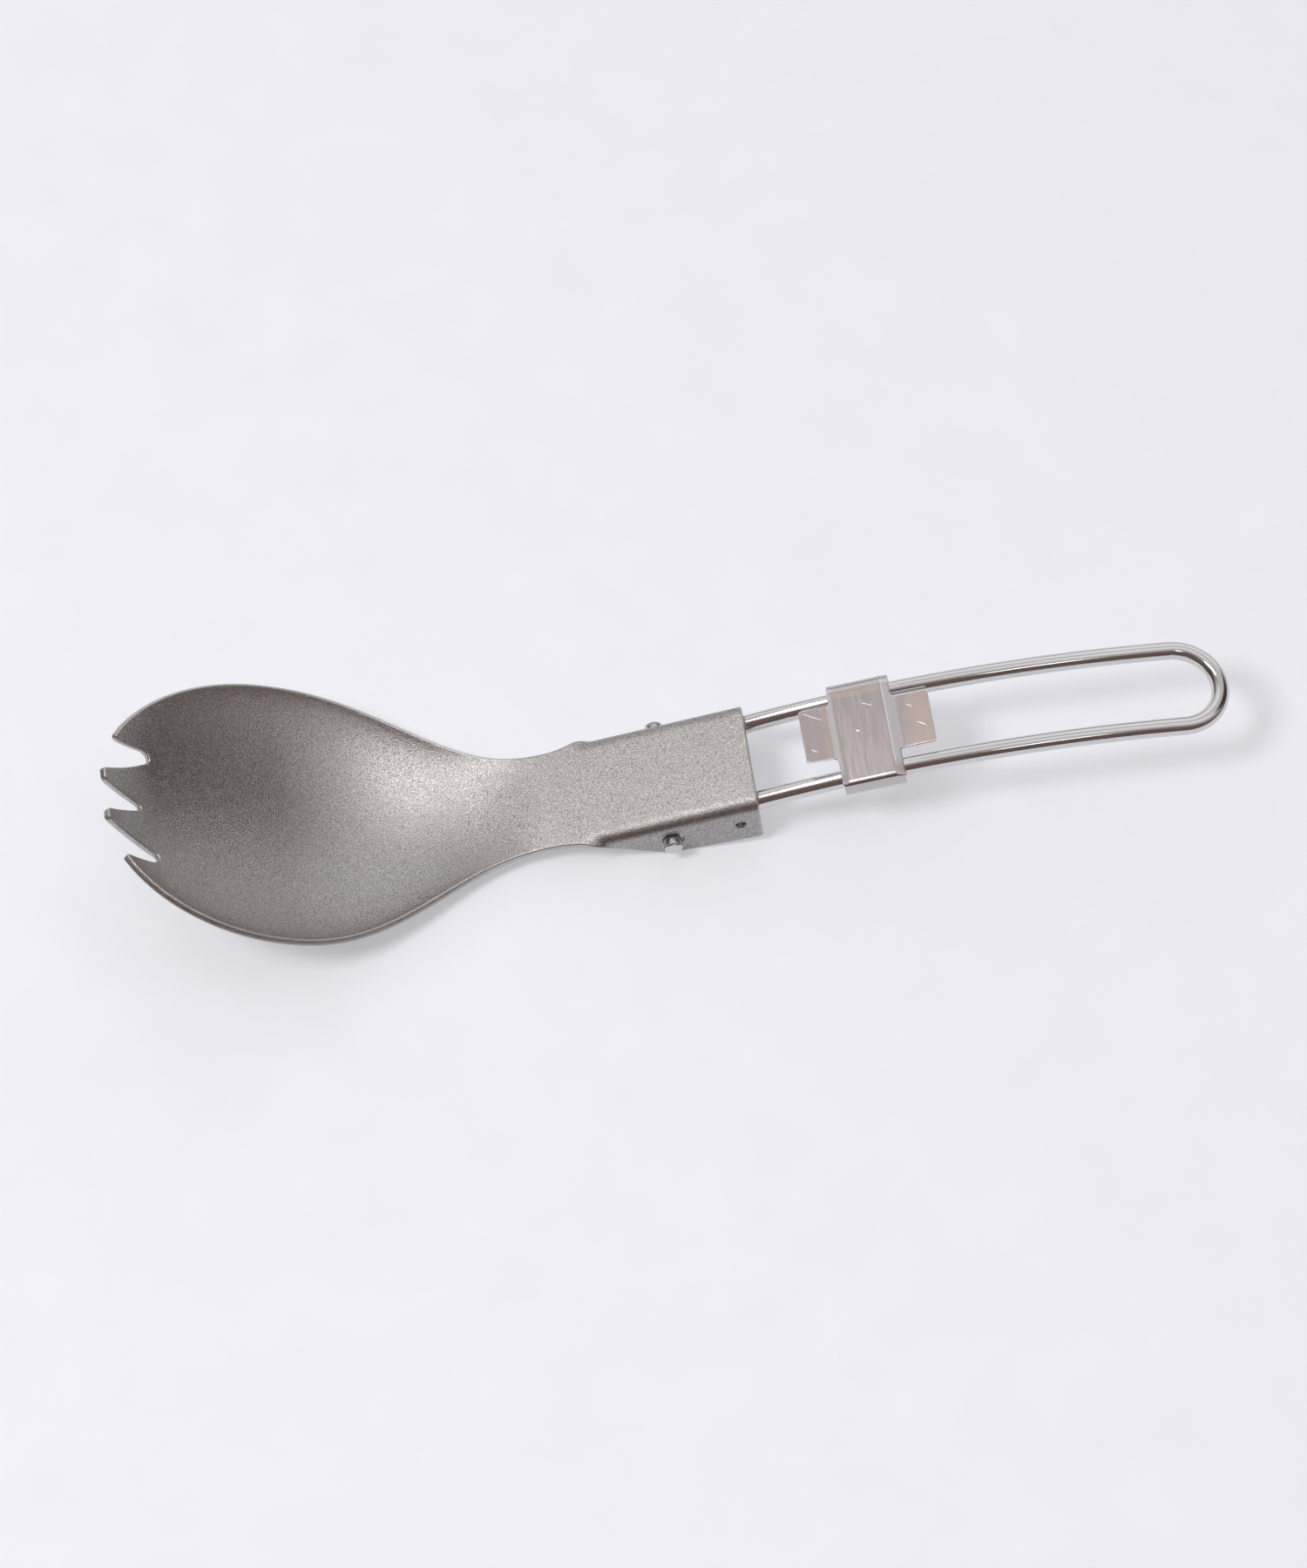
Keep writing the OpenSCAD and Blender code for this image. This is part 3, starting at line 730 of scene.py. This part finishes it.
class SPORK_OT_handle(bpy.types.Operator):
    """Bend the polished wire handle"""

    bl_idname = "spork.handle"
    bl_label = "Handle"

    def execute(self, context):
        sizes = context.scene.spork_handle
        legs = LegLine(sizes)
        bend = sizes.pin_bend_r
        lead = np.array([math.cos(legs.start), 0, math.sin(legs.start)])
        across = np.array([0, 1.0, 0])
        # One half of the centre line, from a pin's end to the middle of the loop, with its tangents
        pin_y = np.linspace(sizes.pin_reach, legs.leg_y + bend, PIN_POINTS)[:, None]
        pin, pin_way = pin_y * across, np.tile(-across, (PIN_POINTS, 1))
        turn = np.linspace(0, math.pi / 2, ELBOW_POINTS)[1:, None]
        bend_middle = bend * lead + (legs.leg_y + bend) * across
        elbow = bend_middle - bend * (np.cos(turn) * lead + np.sin(turn) * across)
        elbow_way = np.sin(turn) * lead - np.cos(turn) * across
        slope = np.linspace(legs.start, legs.end, LEG_POINTS)[1:]
        leg = legs.point(slope, legs.leg_y)
        leg_way = np.stack([np.cos(slope), 0 * slope, np.sin(slope)], 1)
        way_end = leg_way[-1]
        turn = np.linspace(0, math.pi / 2, LOOP_POINTS)[1:, None]
        loop_middle = leg[-1] - legs.leg_y * across
        loop = loop_middle + legs.leg_y * (np.sin(turn) * way_end + np.cos(turn) * across)
        loop_way = np.cos(turn) * way_end - np.sin(turn) * across
        half = np.concatenate([pin, elbow, leg, loop])
        way = np.concatenate([pin_way, elbow_way, leg_way, loop_way])
        up = np.concatenate([
            np.tile(np.cross(lead, across), (len(pin) + len(elbow), 1)),
            np.cross(leg_way, across), np.tile(np.cross(way_end, across), (len(loop), 1))])
        flip = np.array([1, -1, 1.0])
        path = np.concatenate([half, half[-2::-1] * flip])
        way = np.concatenate([way, way[-2::-1] * flip * -1])
        up = np.concatenate([up, up[-2::-1]])
        mesh = wire_mesh("wire_handle_bar", path, way, up, legs.wire_r, sizes.pin_chamfer, sizes.cut_ridge)
        put_object("wire_handle_bar", mesh, polished_wire(context.scene.spork_finishes), "handle",
                   "wire_handle")
        return {"FINISHED"}


def wire_mesh(name, path, way, up, radius, chamfer, ridge, sides=56, cap_rings=7, chamfer_rings=6):
    """Round bar along a path: path(s) + radius (cos a up(s) + sin a (way x up)(s)), with cut ends.

    Each end is a rounded chamfer and a face whose height is a ridge across the cut with a fine ripple.
    """
    turn = np.linspace(0, 2 * math.pi, sides, endpoint=False)
    side = np.cross(way, up)
    ring = np.cos(turn)[None, :, None] * up[:, None] + np.sin(turn)[None, :, None] * side[:, None]
    # The end rings shrink along a quarter round, then run in to the middle of the cut face
    quarter = np.linspace(0, math.pi / 2, chamfer_rings)[1:]
    face = np.linspace(chamfer, radius, cap_rings)[1:-1]
    inset = np.concatenate([chamfer * (1 - np.cos(quarter)), face])
    rise = np.concatenate([chamfer * np.sin(quarter), np.full(len(face), chamfer)])
    radius_share = 1 - inset / radius
    cut = ridge * (1 - np.abs(np.sin(turn))[None] * radius_share[:, None]) - ridge
    ripple = RIPPLE * ridge * np.sin(RIPPLE_WAVES * turn + RIPPLE_PHASE)[None] * radius_share[:, None]
    cut = np.where((inset >= chamfer - TINY)[:, None], cut + ripple, 0)

    def cap(k, sign):
        """Rings of one end, where the sign is 1 at the path's start and -1 at its end."""
        base = path[k] + sign * chamfer * way[k]
        height = (rise[:, None] + cut) * -sign
        flat = (radius - inset)[:, None, None] * ring[k][None]
        return base + flat + height[..., None] * way[k]

    first, last = cap(0, 1), cap(-1, -1)
    body = path.copy()
    body[0] += chamfer * way[0]
    body[-1] -= chamfer * way[-1]
    rows = np.concatenate([first[::-1], body[:, None] + radius * ring, last])
    count, total = rows.shape[0], rows.shape[0] * sides
    index = np.arange(total).reshape(count, sides)
    a, b = index[:-1], index[1:]
    quads = np.stack([a, b, np.roll(b, -1, 1), np.roll(a, -1, 1)], -1).reshape(-1, 4)
    poles = np.stack([rows[0].mean(0), rows[-1].mean(0)])
    fan_0 = np.stack([np.full(sides, total), index[0], np.roll(index[0], -1)], 1)
    fan_1 = np.stack([np.full(sides, total + 1), np.roll(index[-1], -1), index[-1]], 1)
    points = np.concatenate([rows.reshape(-1, 3), poles])
    mesh = put_mesh(name, points, np.concatenate([fan_0, fan_1]), quads)
    gaps = np.linalg.norm(np.diff(rows.mean(1), axis=0), axis=1)
    along = np.concatenate([[0], np.cumsum(gaps)])
    lengthwise = np.concatenate([np.repeat(along, sides), along[[0, -1]]])
    around = np.concatenate([np.tile(np.cos(turn), count), [0, 0]]) * radius
    beside = np.concatenate([np.tile(np.sin(turn), count), [0, 0]]) * radius
    drawn = mesh.attributes.new("drawn", "FLOAT_VECTOR", "POINT")
    drawn.data.foreach_set("vector", np.stack([lengthwise, around, beside], 1).astype(np.float32).ravel())
    cut_share = np.zeros(len(points))
    cut_share[index[:cap_rings]] = 1
    cut_share[index[-cap_rings:]] = 1
    cut_share[-2:] = 1
    worn = mesh.attributes.new("edge", "FLOAT", "POINT")
    worn.data.foreach_set("value", cut_share.astype(np.float32))
    return mesh


class SPORK_OT_lock(bpy.types.Operator):
    """Fold the satin slide lock over both legs"""

    bl_idname = "spork.lock"
    bl_label = "Slide lock"

    def execute(self, context):
        sizes, handle = context.scene.spork_lock, context.scene.spork_handle
        legs = LegLine(handle)
        slope = legs.start - (sizes.place - handle.pin_bend_r) / legs.radius
        place = legs.point(np.array(slope), 0.0)
        ahead = np.array([math.cos(slope), 0, math.sin(slope)])
        above = np.array([-math.sin(slope), 0, math.cos(slope)])
        across = np.array([0, 1.0, 0])
        outer = legs.wire_r + sizes.lock_gap + sizes.sheet
        plate, tab_w = sizes.plate_len / 2, sizes.tab_w / 2
        front, rear = -plate - sizes.front_tab, plate + sizes.rear_tab
        left_y, right_y = legs.leg_y + sizes.left_out, legs.leg_y + sizes.right_out
        tight = outer - sizes.right_bend_r
        left_lip = left_y + outer * sizes.lip_wrap
        right_lip = right_y + outer * sizes.lip_wrap + tight * (2 - math.pi / 2)
        fall_x, climb_x = plate - sizes.rear_inset, plate - sizes.front_inset

        def skin(x, w):
            """Upper skin: a flat plate, stepped up in front and down behind, with its edges folded down.

            Each edge turns down through a bend, runs straight to the height of the leg's middle and then
            follows a circle under the leg.
            """
            bend = np.where(w < 0, sizes.right_bend_r, outer)
            flat = np.where(w < 0, right_y, left_y) + outer - bend
            past = np.maximum(np.abs(w) - flat, 0)
            quarter = bend * math.pi / 2
            turn = np.minimum(past, quarter) / bend
            down = np.clip(past - quarter, 0, outer - bend)
            under = np.maximum(past - quarter - (outer - bend), 0) / outer
            level = 1 - smooth(past / quarter)
            beyond = ramp(-climb_x - sizes.front_step - x, sizes.front_knee)
            climb = ramp(-climb_x - x, sizes.front_knee) - beyond
            rise = (math.tan(sizes.front_climb) * climb + math.tan(sizes.front_bend) * beyond) * level
            run = ramp(x - fall_x, sizes.rear_knee) - ramp(x - fall_x - sizes.rear_step, sizes.rear_knee)
            fall = math.tan(sizes.rear_fall) * run * level
            half = np.minimum(np.abs(w), flat) + bend * np.sin(turn) - outer * (1 - np.cos(under))
            y = np.sign(w) * half
            z = sizes.ride + outer - bend * (1 - np.cos(turn)) - down - outer * np.sin(under) + rise - fall
            return place + x[:, None] * ahead + y[:, None] * across + z[:, None] * above

        corners = np.array([
            (rear, -tab_w), (rear, tab_w), (plate, tab_w), (plate, left_lip),
            (-plate, left_lip), (-plate, tab_w), (front, tab_w), (front, -tab_w),
            (-plate, -tab_w), (-plate, -right_lip), (plate, -right_lip), (plate, -tab_w)])
        tip_r, root_r = sizes.tab_corner_r, sizes.root_corner_r
        radii = [tip_r, tip_r, root_r, tip_r, tip_r, root_r] * 2
        outline = rounded(corners, radii, closed=True)
        outline = spaced(np.concatenate([outline, outline[:1]]), LOCK_EDGE_STEP * sizes.spacing)[:-1]
        mesh = sheet_mesh(
            "slide_lock_sheet", skin, undented, [outline], [sizes.edge_r], np.empty((0, 2)), sizes.sheet,
            sizes.spacing)
        local = np.zeros((len(mesh.vertices), 3), np.float32)
        mesh.vertices.foreach_get("co", local.reshape(-1))
        apart = local - (place + PIVOT)
        laid = np.stack([apart @ ahead, apart @ across, apart @ above], 1)
        own = mesh.attributes.new("laid", "FLOAT_VECTOR", "POINT")
        own.data.foreach_set("vector", laid.astype(np.float32).ravel())
        put_object("slide_lock_sheet", mesh, satin_sheet(context.scene.spork_finishes), "lock", "slide_lock")
        return {"FINISHED"}


# Materials


class Nodes:
    """A short hand for building the node tree of a material or a world."""

    def __init__(self, name, kind=None, shader="Principled BSDF"):
        self.owner = (bpy.data.materials if kind is None else kind).new(name)
        self.owner.use_nodes = True
        self.tree = self.owner.node_tree
        self.shader = self.tree.nodes[shader]

    def add(self, kind, **settings):
        """Adds a node and sets its own settings."""
        node = self.tree.nodes.new(kind)
        for name, value in settings.items():
            setattr(node, name, value)
        return node

    def link(self, source, target):
        """Joins an output socket to an input socket."""
        self.tree.links.new(source, target)

    def attribute(self, name, output):
        """Output socket of one of the piece's own attributes."""
        return self.add("ShaderNodeAttribute", attribute_name=name).outputs[output]

    def place(self):
        """Object coordinates."""
        return self.add("ShaderNodeTexCoord").outputs["Object"]

    def noise(self, vector, scale, detail=2.0, stretch=None):
        """Noise from 0 to 1, with its grain about 1 / scale metres wide."""
        if stretch:
            mapping = self.add("ShaderNodeMapping")
            mapping.inputs["Scale"].default_value = stretch
            self.link(vector, mapping.inputs["Vector"])
            vector = mapping.outputs["Vector"]
        node = self.add("ShaderNodeTexNoise")
        node.inputs["Scale"].default_value = scale
        node.inputs["Detail"].default_value = detail
        self.link(vector, node.inputs["Vector"])
        return node.outputs["Fac"]

    def spread(self, value, from_min, from_max, to_min, to_max):
        """Brings a value from one range into another, held at its ends."""
        node = self.add("ShaderNodeMapRange")
        ends = {"From Min": from_min, "From Max": from_max, "To Min": to_min, "To Max": to_max}
        for socket, end in ends.items():
            node.inputs[socket].default_value = end
        self.link(value, node.inputs["Value"])
        return node.outputs["Result"]

    def ease(self, value, from_min, from_max, to_min, to_max):
        """Brings a value from one range into another by a smooth step, held at its ends."""
        result = self.spread(value, from_min, from_max, to_min, to_max)
        result.node.interpolation_type = "SMOOTHSTEP"
        return result

    def math(self, operation, a, b):
        """Math of two sockets or numbers."""
        node = self.add("ShaderNodeMath", operation=operation)
        for socket, value in zip(node.inputs, (a, b)):
            if isinstance(value, (int, float)):
                socket.default_value = value
            else:
                self.link(value, socket)
        return node.outputs["Value"]

    def absolute(self, value):
        """A socket's value without its sign."""
        return self.math("ABSOLUTE", value, 0.0)

    def stripe(self, value, middle, full, gone, strength):
        """Mask that has its strength up to one distance from the middle and is gone at another."""
        off = self.absolute(self.math("SUBTRACT", value, middle))
        return self.spread(off, full, gone, strength, 0)

    def dot(self, vector, way):
        """How far a vector reaches along a direction."""
        node = self.add("ShaderNodeVectorMath", operation="DOT_PRODUCT")
        node.inputs[1].default_value = way
        self.link(vector, node.inputs[0])
        return node.outputs["Value"]

    def scratch(self, vector, start, end, width):
        """Mask of a straight scratch from start to end in the vector's X and Y, fading out at both ends."""
        origin = Vector((*start, 0))
        way = Vector((*end, 0)) - origin
        run, along = way.length, way.normalized()
        side = Vector((-along.y, along.x, 0))
        line = self.stripe(self.dot(vector, side), side.dot(origin), 0, width, 1)
        middle = along.dot(origin) + run / 2
        fade_from, fade_to = 0.35 * run, 0.5 * run
        faded = self.stripe(self.dot(vector, along), middle, fade_from, fade_to, 1)
        return self.math("MULTIPLY", line, faded)

    def mix(self, share, a, b, blend="MIX"):
        """Mix of two colours, each a socket or a colour."""
        node = self.add("ShaderNodeMix", data_type="RGBA", blend_type=blend)
        sockets = [s for s in node.inputs if s.enabled]
        for socket, value in zip(sockets, (share, a, b)):
            if isinstance(value, bpy.types.NodeSocket):
                self.link(value, socket)
            elif isinstance(value, (int, float)):
                socket.default_value = value
            else:
                socket.default_value = (*value[:3], 1)
        return next(s for s in node.outputs if s.enabled)

    def bump(self, height, distance, strength):
        """Bump from a height socket."""
        node = self.add("ShaderNodeBump")
        node.inputs["Distance"].default_value = distance
        node.inputs["Strength"].default_value = strength
        self.link(height, node.inputs["Height"])
        return node.outputs["Normal"]

    def set(self, **sockets):
        """Sets or links the shader's sockets, with spaces in place of underscores."""
        for name, value in sockets.items():
            socket = self.shader.inputs[name.replace("_", " ")]
            if isinstance(value, bpy.types.NodeSocket):
                self.link(value, socket)
            else:
                socket.default_value = value


# Marks on the lock, warm tints and painted highlights: middle along or across the legs, distances from it
# where the mark is full and where it is gone, and strength
FRONT_WARM = (-5.5 * MM, 0.2 * MM, 0.6 * MM, 0.9)
LEFT_WARM = (5.9 * MM, 0.1 * MM, 0.8 * MM, 0.7)
# Painted highlights: pale bluish bands across the plate's front bend, the rear step and the crease where it
# starts
FRONT_HIGHLIGHT = (-4.5 * MM, 0.3 * MM, 0.7 * MM, 0.5)
STEP_HIGHLIGHT = (4.2 * MM, 0.6 * MM, 1.0 * MM, 0.4)
CREASE_HIGHLIGHT = (3.4 * MM, 0.05 * MM, 0.18 * MM, 1.0)
UPPER_FACE = (0.0, 6.0 * MM, 7.5 * MM, 1.0)

# The rear tab's warm tint: where it starts and where it is full, and its strength at both
REAR_WARM = (5.4 * MM, 7.0 * MM, 0, 0.9)

# Scratches on the lock's upper face: start and end along and across the legs, and width
SCRATCHES = (
    ((-8.4 * MM, 3.8 * MM), (-5.6 * MM, 2.1 * MM), 0.04 * MM),
    ((-8.1 * MM, -2.2 * MM), (-7.2 * MM, -2.9 * MM), 0.04 * MM),
    ((-1.4 * MM, -0.3 * MM), (-0.8 * MM, -0.6 * MM), 0.16 * MM),
    ((0.2 * MM, 3.9 * MM), (1.6 * MM, 3.1 * MM), 0.03 * MM),
    ((6.3 * MM, 2.6 * MM), (7.2 * MM, 2.0 * MM), 0.04 * MM),
    ((7.4 * MM, -0.6 * MM), (8.7 * MM, -1.5 * MM), 0.04 * MM),
)


def shade(colour, factor):
    """A colour made lighter or darker."""
    return tuple(min(1.0, c * factor) for c in colour)


def titanium(finishes):
    """Blasted titanium: a fine bright and dark grain, soft cloudy patches and paler tumbled edges."""
    n = Nodes("blasted_titanium")
    place = n.place()
    grain = n.noise(place, scale=6600, detail=1.0)
    clouds = n.noise(place, scale=70, detail=3.0)
    smears = n.noise(place, scale=900, detail=2.0)
    darkest, cloudy, lightest = (shade(finishes.titanium, factor) for factor in (0.5, 0.9, 1.5))
    base = n.mix(n.spread(grain, 0.36, 0.64, 0, 1), darkest, lightest)
    base = n.mix(n.spread(clouds, 0.35, 0.65, 0, 0.35), base, cloudy)
    worn = n.math("MULTIPLY", n.attribute("edge", "Fac"), finishes.titanium_worn)
    base = n.mix(worn, base, lightest)
    rough = n.spread(smears, 0.3, 0.7, finishes.titanium_sheen, finishes.titanium_rough)
    bump = n.bump(grain, distance=0.08 * MM, strength=0.6)
    n.set(Base_Color=base, Metallic=1.0, Roughness=rough, Normal=bump)
    return n.owner


def polished_wire(finishes):
    """Polished wire: bright, with fine lines along its length and a duller, rougher cut at the ends."""
    n = Nodes("polished_wire")
    drawn = n.attribute("drawn", "Vector")
    lines = n.noise(drawn, scale=1.0, detail=3.0, stretch=(60, 5200, 5200))
    smears = n.noise(drawn, scale=1.0, detail=2.0, stretch=(90, 900, 900))
    pits = n.noise(n.place(), scale=1500, detail=2.0)
    base = n.mix(n.spread(lines, 0.3, 0.7, 0, 0.5), finishes.wire, shade(finishes.wire, 0.82))
    cut = n.attribute("edge", "Fac")
    smeared = n.spread(smears, 0.35, 0.65, finishes.wire_sheen, finishes.wire_rough)
    rough = n.math("ADD", smeared, n.math("MULTIPLY", cut, finishes.wire_cut))
    line_height = n.math("MULTIPLY", lines, 0.6)
    pit_height = n.math("MULTIPLY", n.math("MULTIPLY", pits, cut), 6.0)
    height = n.math("ADD", line_height, pit_height)
    bump = n.bump(height, distance=0.01 * MM, strength=0.35)
    n.set(Base_Color=base, Metallic=1.0, Roughness=rough, Normal=bump)
    return n.owner


def satin_sheet(finishes):
    """Satin sheet: fine brushing, painted highlights on the bends and cut edges, a few scratches and warm
    tints.

    The tints lie on the rear tab, in front of the plate and along its left bend.
    """
    n = Nodes("lock_sheet")
    laid = n.attribute("laid", "Vector")
    brushed = n.noise(laid, scale=1.0, detail=2.0, stretch=(4200, 300, 300))
    patches = n.noise(laid, scale=260, detail=2.0)
    x = n.dot(laid, (1, 0, 0))
    y = n.dot(laid, (0, 1, 0))
    ends = n.math("MAXIMUM", n.spread(x, *REAR_WARM), n.stripe(x, *FRONT_WARM))
    warm = n.math("MAXIMUM", ends, n.stripe(y, *LEFT_WARM))
    warm = n.math("MULTIPLY", warm, n.spread(patches, 0.35, 0.6, 0.35, 1))
    base = n.mix(n.spread(brushed, 0.3, 0.7, 0, 1), shade(finishes.lock, 0.98), shade(finishes.lock, 1.02))
    base = n.mix(warm, base, tuple(finishes.lock_warm))
    # Painted highlights: pale bluish bands across the bends, on the upper face only, and along the cut edges
    bends = n.math("MAXIMUM", n.stripe(x, *FRONT_HIGHLIGHT), n.stripe(x, *STEP_HIGHLIGHT))
    bends = n.math("MAXIMUM", bends, n.stripe(x, *CREASE_HIGHLIGHT))
    highlight = n.math("MULTIPLY", bends, n.stripe(y, *UPPER_FACE))
    highlight = n.math("MAXIMUM", highlight, n.attribute("edge", "Fac"))
    base = n.mix(highlight, base, tuple(finishes.lock_highlight_and_scratch))
    hair = 0.0
    for start, end, width in SCRATCHES:
        hair = n.math("MAXIMUM", hair, n.scratch(laid, start, end, width))
    # The scratches are lighter, in the same pale colour as the painted highlights
    base = n.mix(n.math("MULTIPLY", hair, 0.8), base, tuple(finishes.lock_highlight_and_scratch))
    rough = n.spread(brushed, 0.3, 0.7, finishes.lock_sheen, finishes.lock_rough)
    rough = n.math("ADD", rough, n.math("MULTIPLY", hair, 0.2))
    height = n.math("SUBTRACT", brushed, n.math("MULTIPLY", hair, 3.0))
    bump = n.bump(height, distance=0.006 * MM, strength=0.3)
    n.set(Base_Color=base, Metallic=1.0, Roughness=rough, Normal=bump)
    return n.owner


def pale_floor(finishes):
    """Pale table top: matte, with a faint fine mottling and a painted glow of its own colour that thins its
    shadows.
    """
    n = Nodes("pale_floor")
    mottle = n.noise(n.place(), scale=90, detail=3.0)
    darker, lighter = shade(finishes.floor, 0.985), shade(finishes.floor, 1.01)
    base = n.mix(n.spread(mottle, 0.3, 0.7, 0, 1), darker, lighter)
    # Painted glow: the floor gives off part of its own colour, which thins the shadows on it
    n.set(Base_Color=base, Roughness=0.75, Emission_Color=base, Emission_Strength=finishes.floor_glow)
    return n.owner


class SPORK_OT_stage(bpy.types.Operator):
    """Lay the floor, hang the lights and set the camera"""

    bl_idname = "spork.stage"
    bl_label = "Stage"

    def execute(self, context):
        scene, stage = context.scene, context.scene.spork_stage
        half = stage.floor_size / 2
        mesh = bpy.data.meshes.new("floor")
        corners = [(-half, -half, 0), (half, -half, 0), (half, half, 0), (-half, half, 0)]
        mesh.from_pydata(corners, [], [(0, 1, 2, 3)])
        floor = bpy.data.objects.new("floor", mesh)
        floor.location.z = -stage.floor_drop
        mesh.materials.append(pale_floor(scene.spork_finishes))
        scene.collection.objects.link(floor)
        self.lights(scene)
        self.camera(scene, stage)
        scene.view_settings.view_transform = "Standard"
        scene.view_settings.look = "None"
        return {"FINISHED"}

    def lights(self, scene):
        """A strip overhead, a key box with a gleam of its own, a small front box, and the room."""
        stage = scene.spork_stage
        strip = self.box("overhead", stage.over_width, stage.over_length, stage.over_power)
        strip.location = stage.over_place
        strip.rotation_euler.z = stage.over_turn
        strip.visible_diffuse = False
        aimed = {"key_box": (stage.key_way, stage.key_size, stage.key_size, stage.key_power),
                 "key_gleam": (stage.key_way, stage.key_size, stage.key_size, stage.key_gleam),
                 "front_box": (stage.front_way, stage.front_width, stage.front_height, stage.front_power)}
        for name, (way, width, height, power) in aimed.items():
            light = self.box(name, width, height, power)
            light.location = Vector(way).normalized() * stage.box_distance
            light.rotation_mode = "QUATERNION"
            light.rotation_quaternion = (-light.location).to_track_quat("-Z", "Y")
            light.visible_diffuse = name == "key_box"
            light.visible_glossy = name != "key_box"
        self.room(scene)

    def box(self, name, width, height, power):
        """A soft box that hangs level and shines down until it is turned."""
        data = bpy.data.lights.new(name, "AREA")
        data.shape, data.size, data.size_y, data.energy = "RECTANGLE", width, height, power
        light = bpy.data.objects.new(name, data)
        bpy.context.scene.collection.objects.link(light)
        return light

    def room(self, scene):
        """A room that eases from a dark to a bright side, with a dim band, a dark spot and a dim foot."""
        stage = scene.spork_stage
        n = Nodes("room", bpy.data.worlds, "Background")
        scene.world = n.owner
        round_about = n.add("ShaderNodeTexCoord").outputs["Generated"]
        lean = n.dot(round_about, Vector(stage.bright_way).normalized())
        bright = n.ease(lean, stage.room_from, stage.room_to, 0, 1)
        colour = n.mix(bright, stage.room_dark, stage.room_bright)
        off = n.absolute(n.dot(round_about, Vector(stage.rear_band).normalized()))
        band = n.ease(off, stage.band_from, stage.band_to, 1, 0)
        colour = n.mix(band, colour, stage.rear_tint, blend="MULTIPLY")
        near = n.dot(round_about, Vector(stage.spot_way).normalized())
        spot = n.ease(near, stage.spot_from, stage.spot_to, 0, 1)
        colour = n.mix(spot, colour, stage.spot_tint, blend="MULTIPLY")
        foot = n.ease(n.dot(round_about, (0, 0, 1)), stage.low_from, stage.low_to, 1, 0)
        colour = n.mix(foot, colour, stage.low_tint, blend="MULTIPLY")
        n.set(Color=colour, Strength=stage.room_strength)

    def camera(self, scene, stage):
        """A long lens at the photograph's angle."""
        data = bpy.data.cameras.new("camera")
        data.lens, data.sensor_width, data.sensor_fit = stage.lens, SENSOR_WIDTH, "AUTO"
        data.clip_start, data.clip_end = 10 * MM, 20
        camera = bpy.data.objects.new("camera", data)
        level = math.cos(stage.elevation)
        side, behind = math.sin(stage.azimuth) * level, -math.cos(stage.azimuth) * level
        back = Vector((side, behind, math.sin(stage.elevation)))
        camera.location = Vector(stage.aim) + back * stage.distance
        camera.rotation_mode = "QUATERNION"
        camera.rotation_quaternion = (-back).to_track_quat("-Z", "Y")
        scene.collection.objects.link(camera)
        scene.camera = camera


class SPORK_PT_panel(bpy.types.Panel):
    """Buttons for the spork's pieces and its stage"""

    bl_label = "Folding spork"
    bl_space_type = "VIEW_3D"
    bl_region_type = "UI"
    bl_category = "Spork"

    def draw(self, context):
        for operator in OPERATORS:
            self.layout.operator(operator.bl_idname)


GROUPS = {
    "spork_head": HeadSizes,
    "spork_handle": HandleSizes,
    "spork_lock": LockSizes,
    "spork_finishes": Finishes,
    "spork_stage": StageSettings,
}
OPERATORS = (SPORK_OT_head, SPORK_OT_handle, SPORK_OT_lock, SPORK_OT_stage)


def register():
    """Registers the settings, the operators and the panel."""
    for name, group in GROUPS.items():
        bpy.utils.register_class(group)
        setattr(bpy.types.Scene, name, PointerProperty(type=group))
    for operator in (*OPERATORS, SPORK_PT_panel):
        bpy.utils.register_class(operator)


def unregister():
    """Takes everything away again."""
    for operator in (SPORK_PT_panel, *reversed(OPERATORS)):
        bpy.utils.unregister_class(operator)
    for name, group in reversed(GROUPS.items()):
        delattr(bpy.types.Scene, name)
        bpy.utils.unregister_class(group)


def main():
    """Builds the whole scene."""
    register()
    bpy.ops.spork.head()
    bpy.ops.spork.handle()
    bpy.ops.spork.lock()
    bpy.ops.spork.stage()


if __name__ == "__main__":
    main()
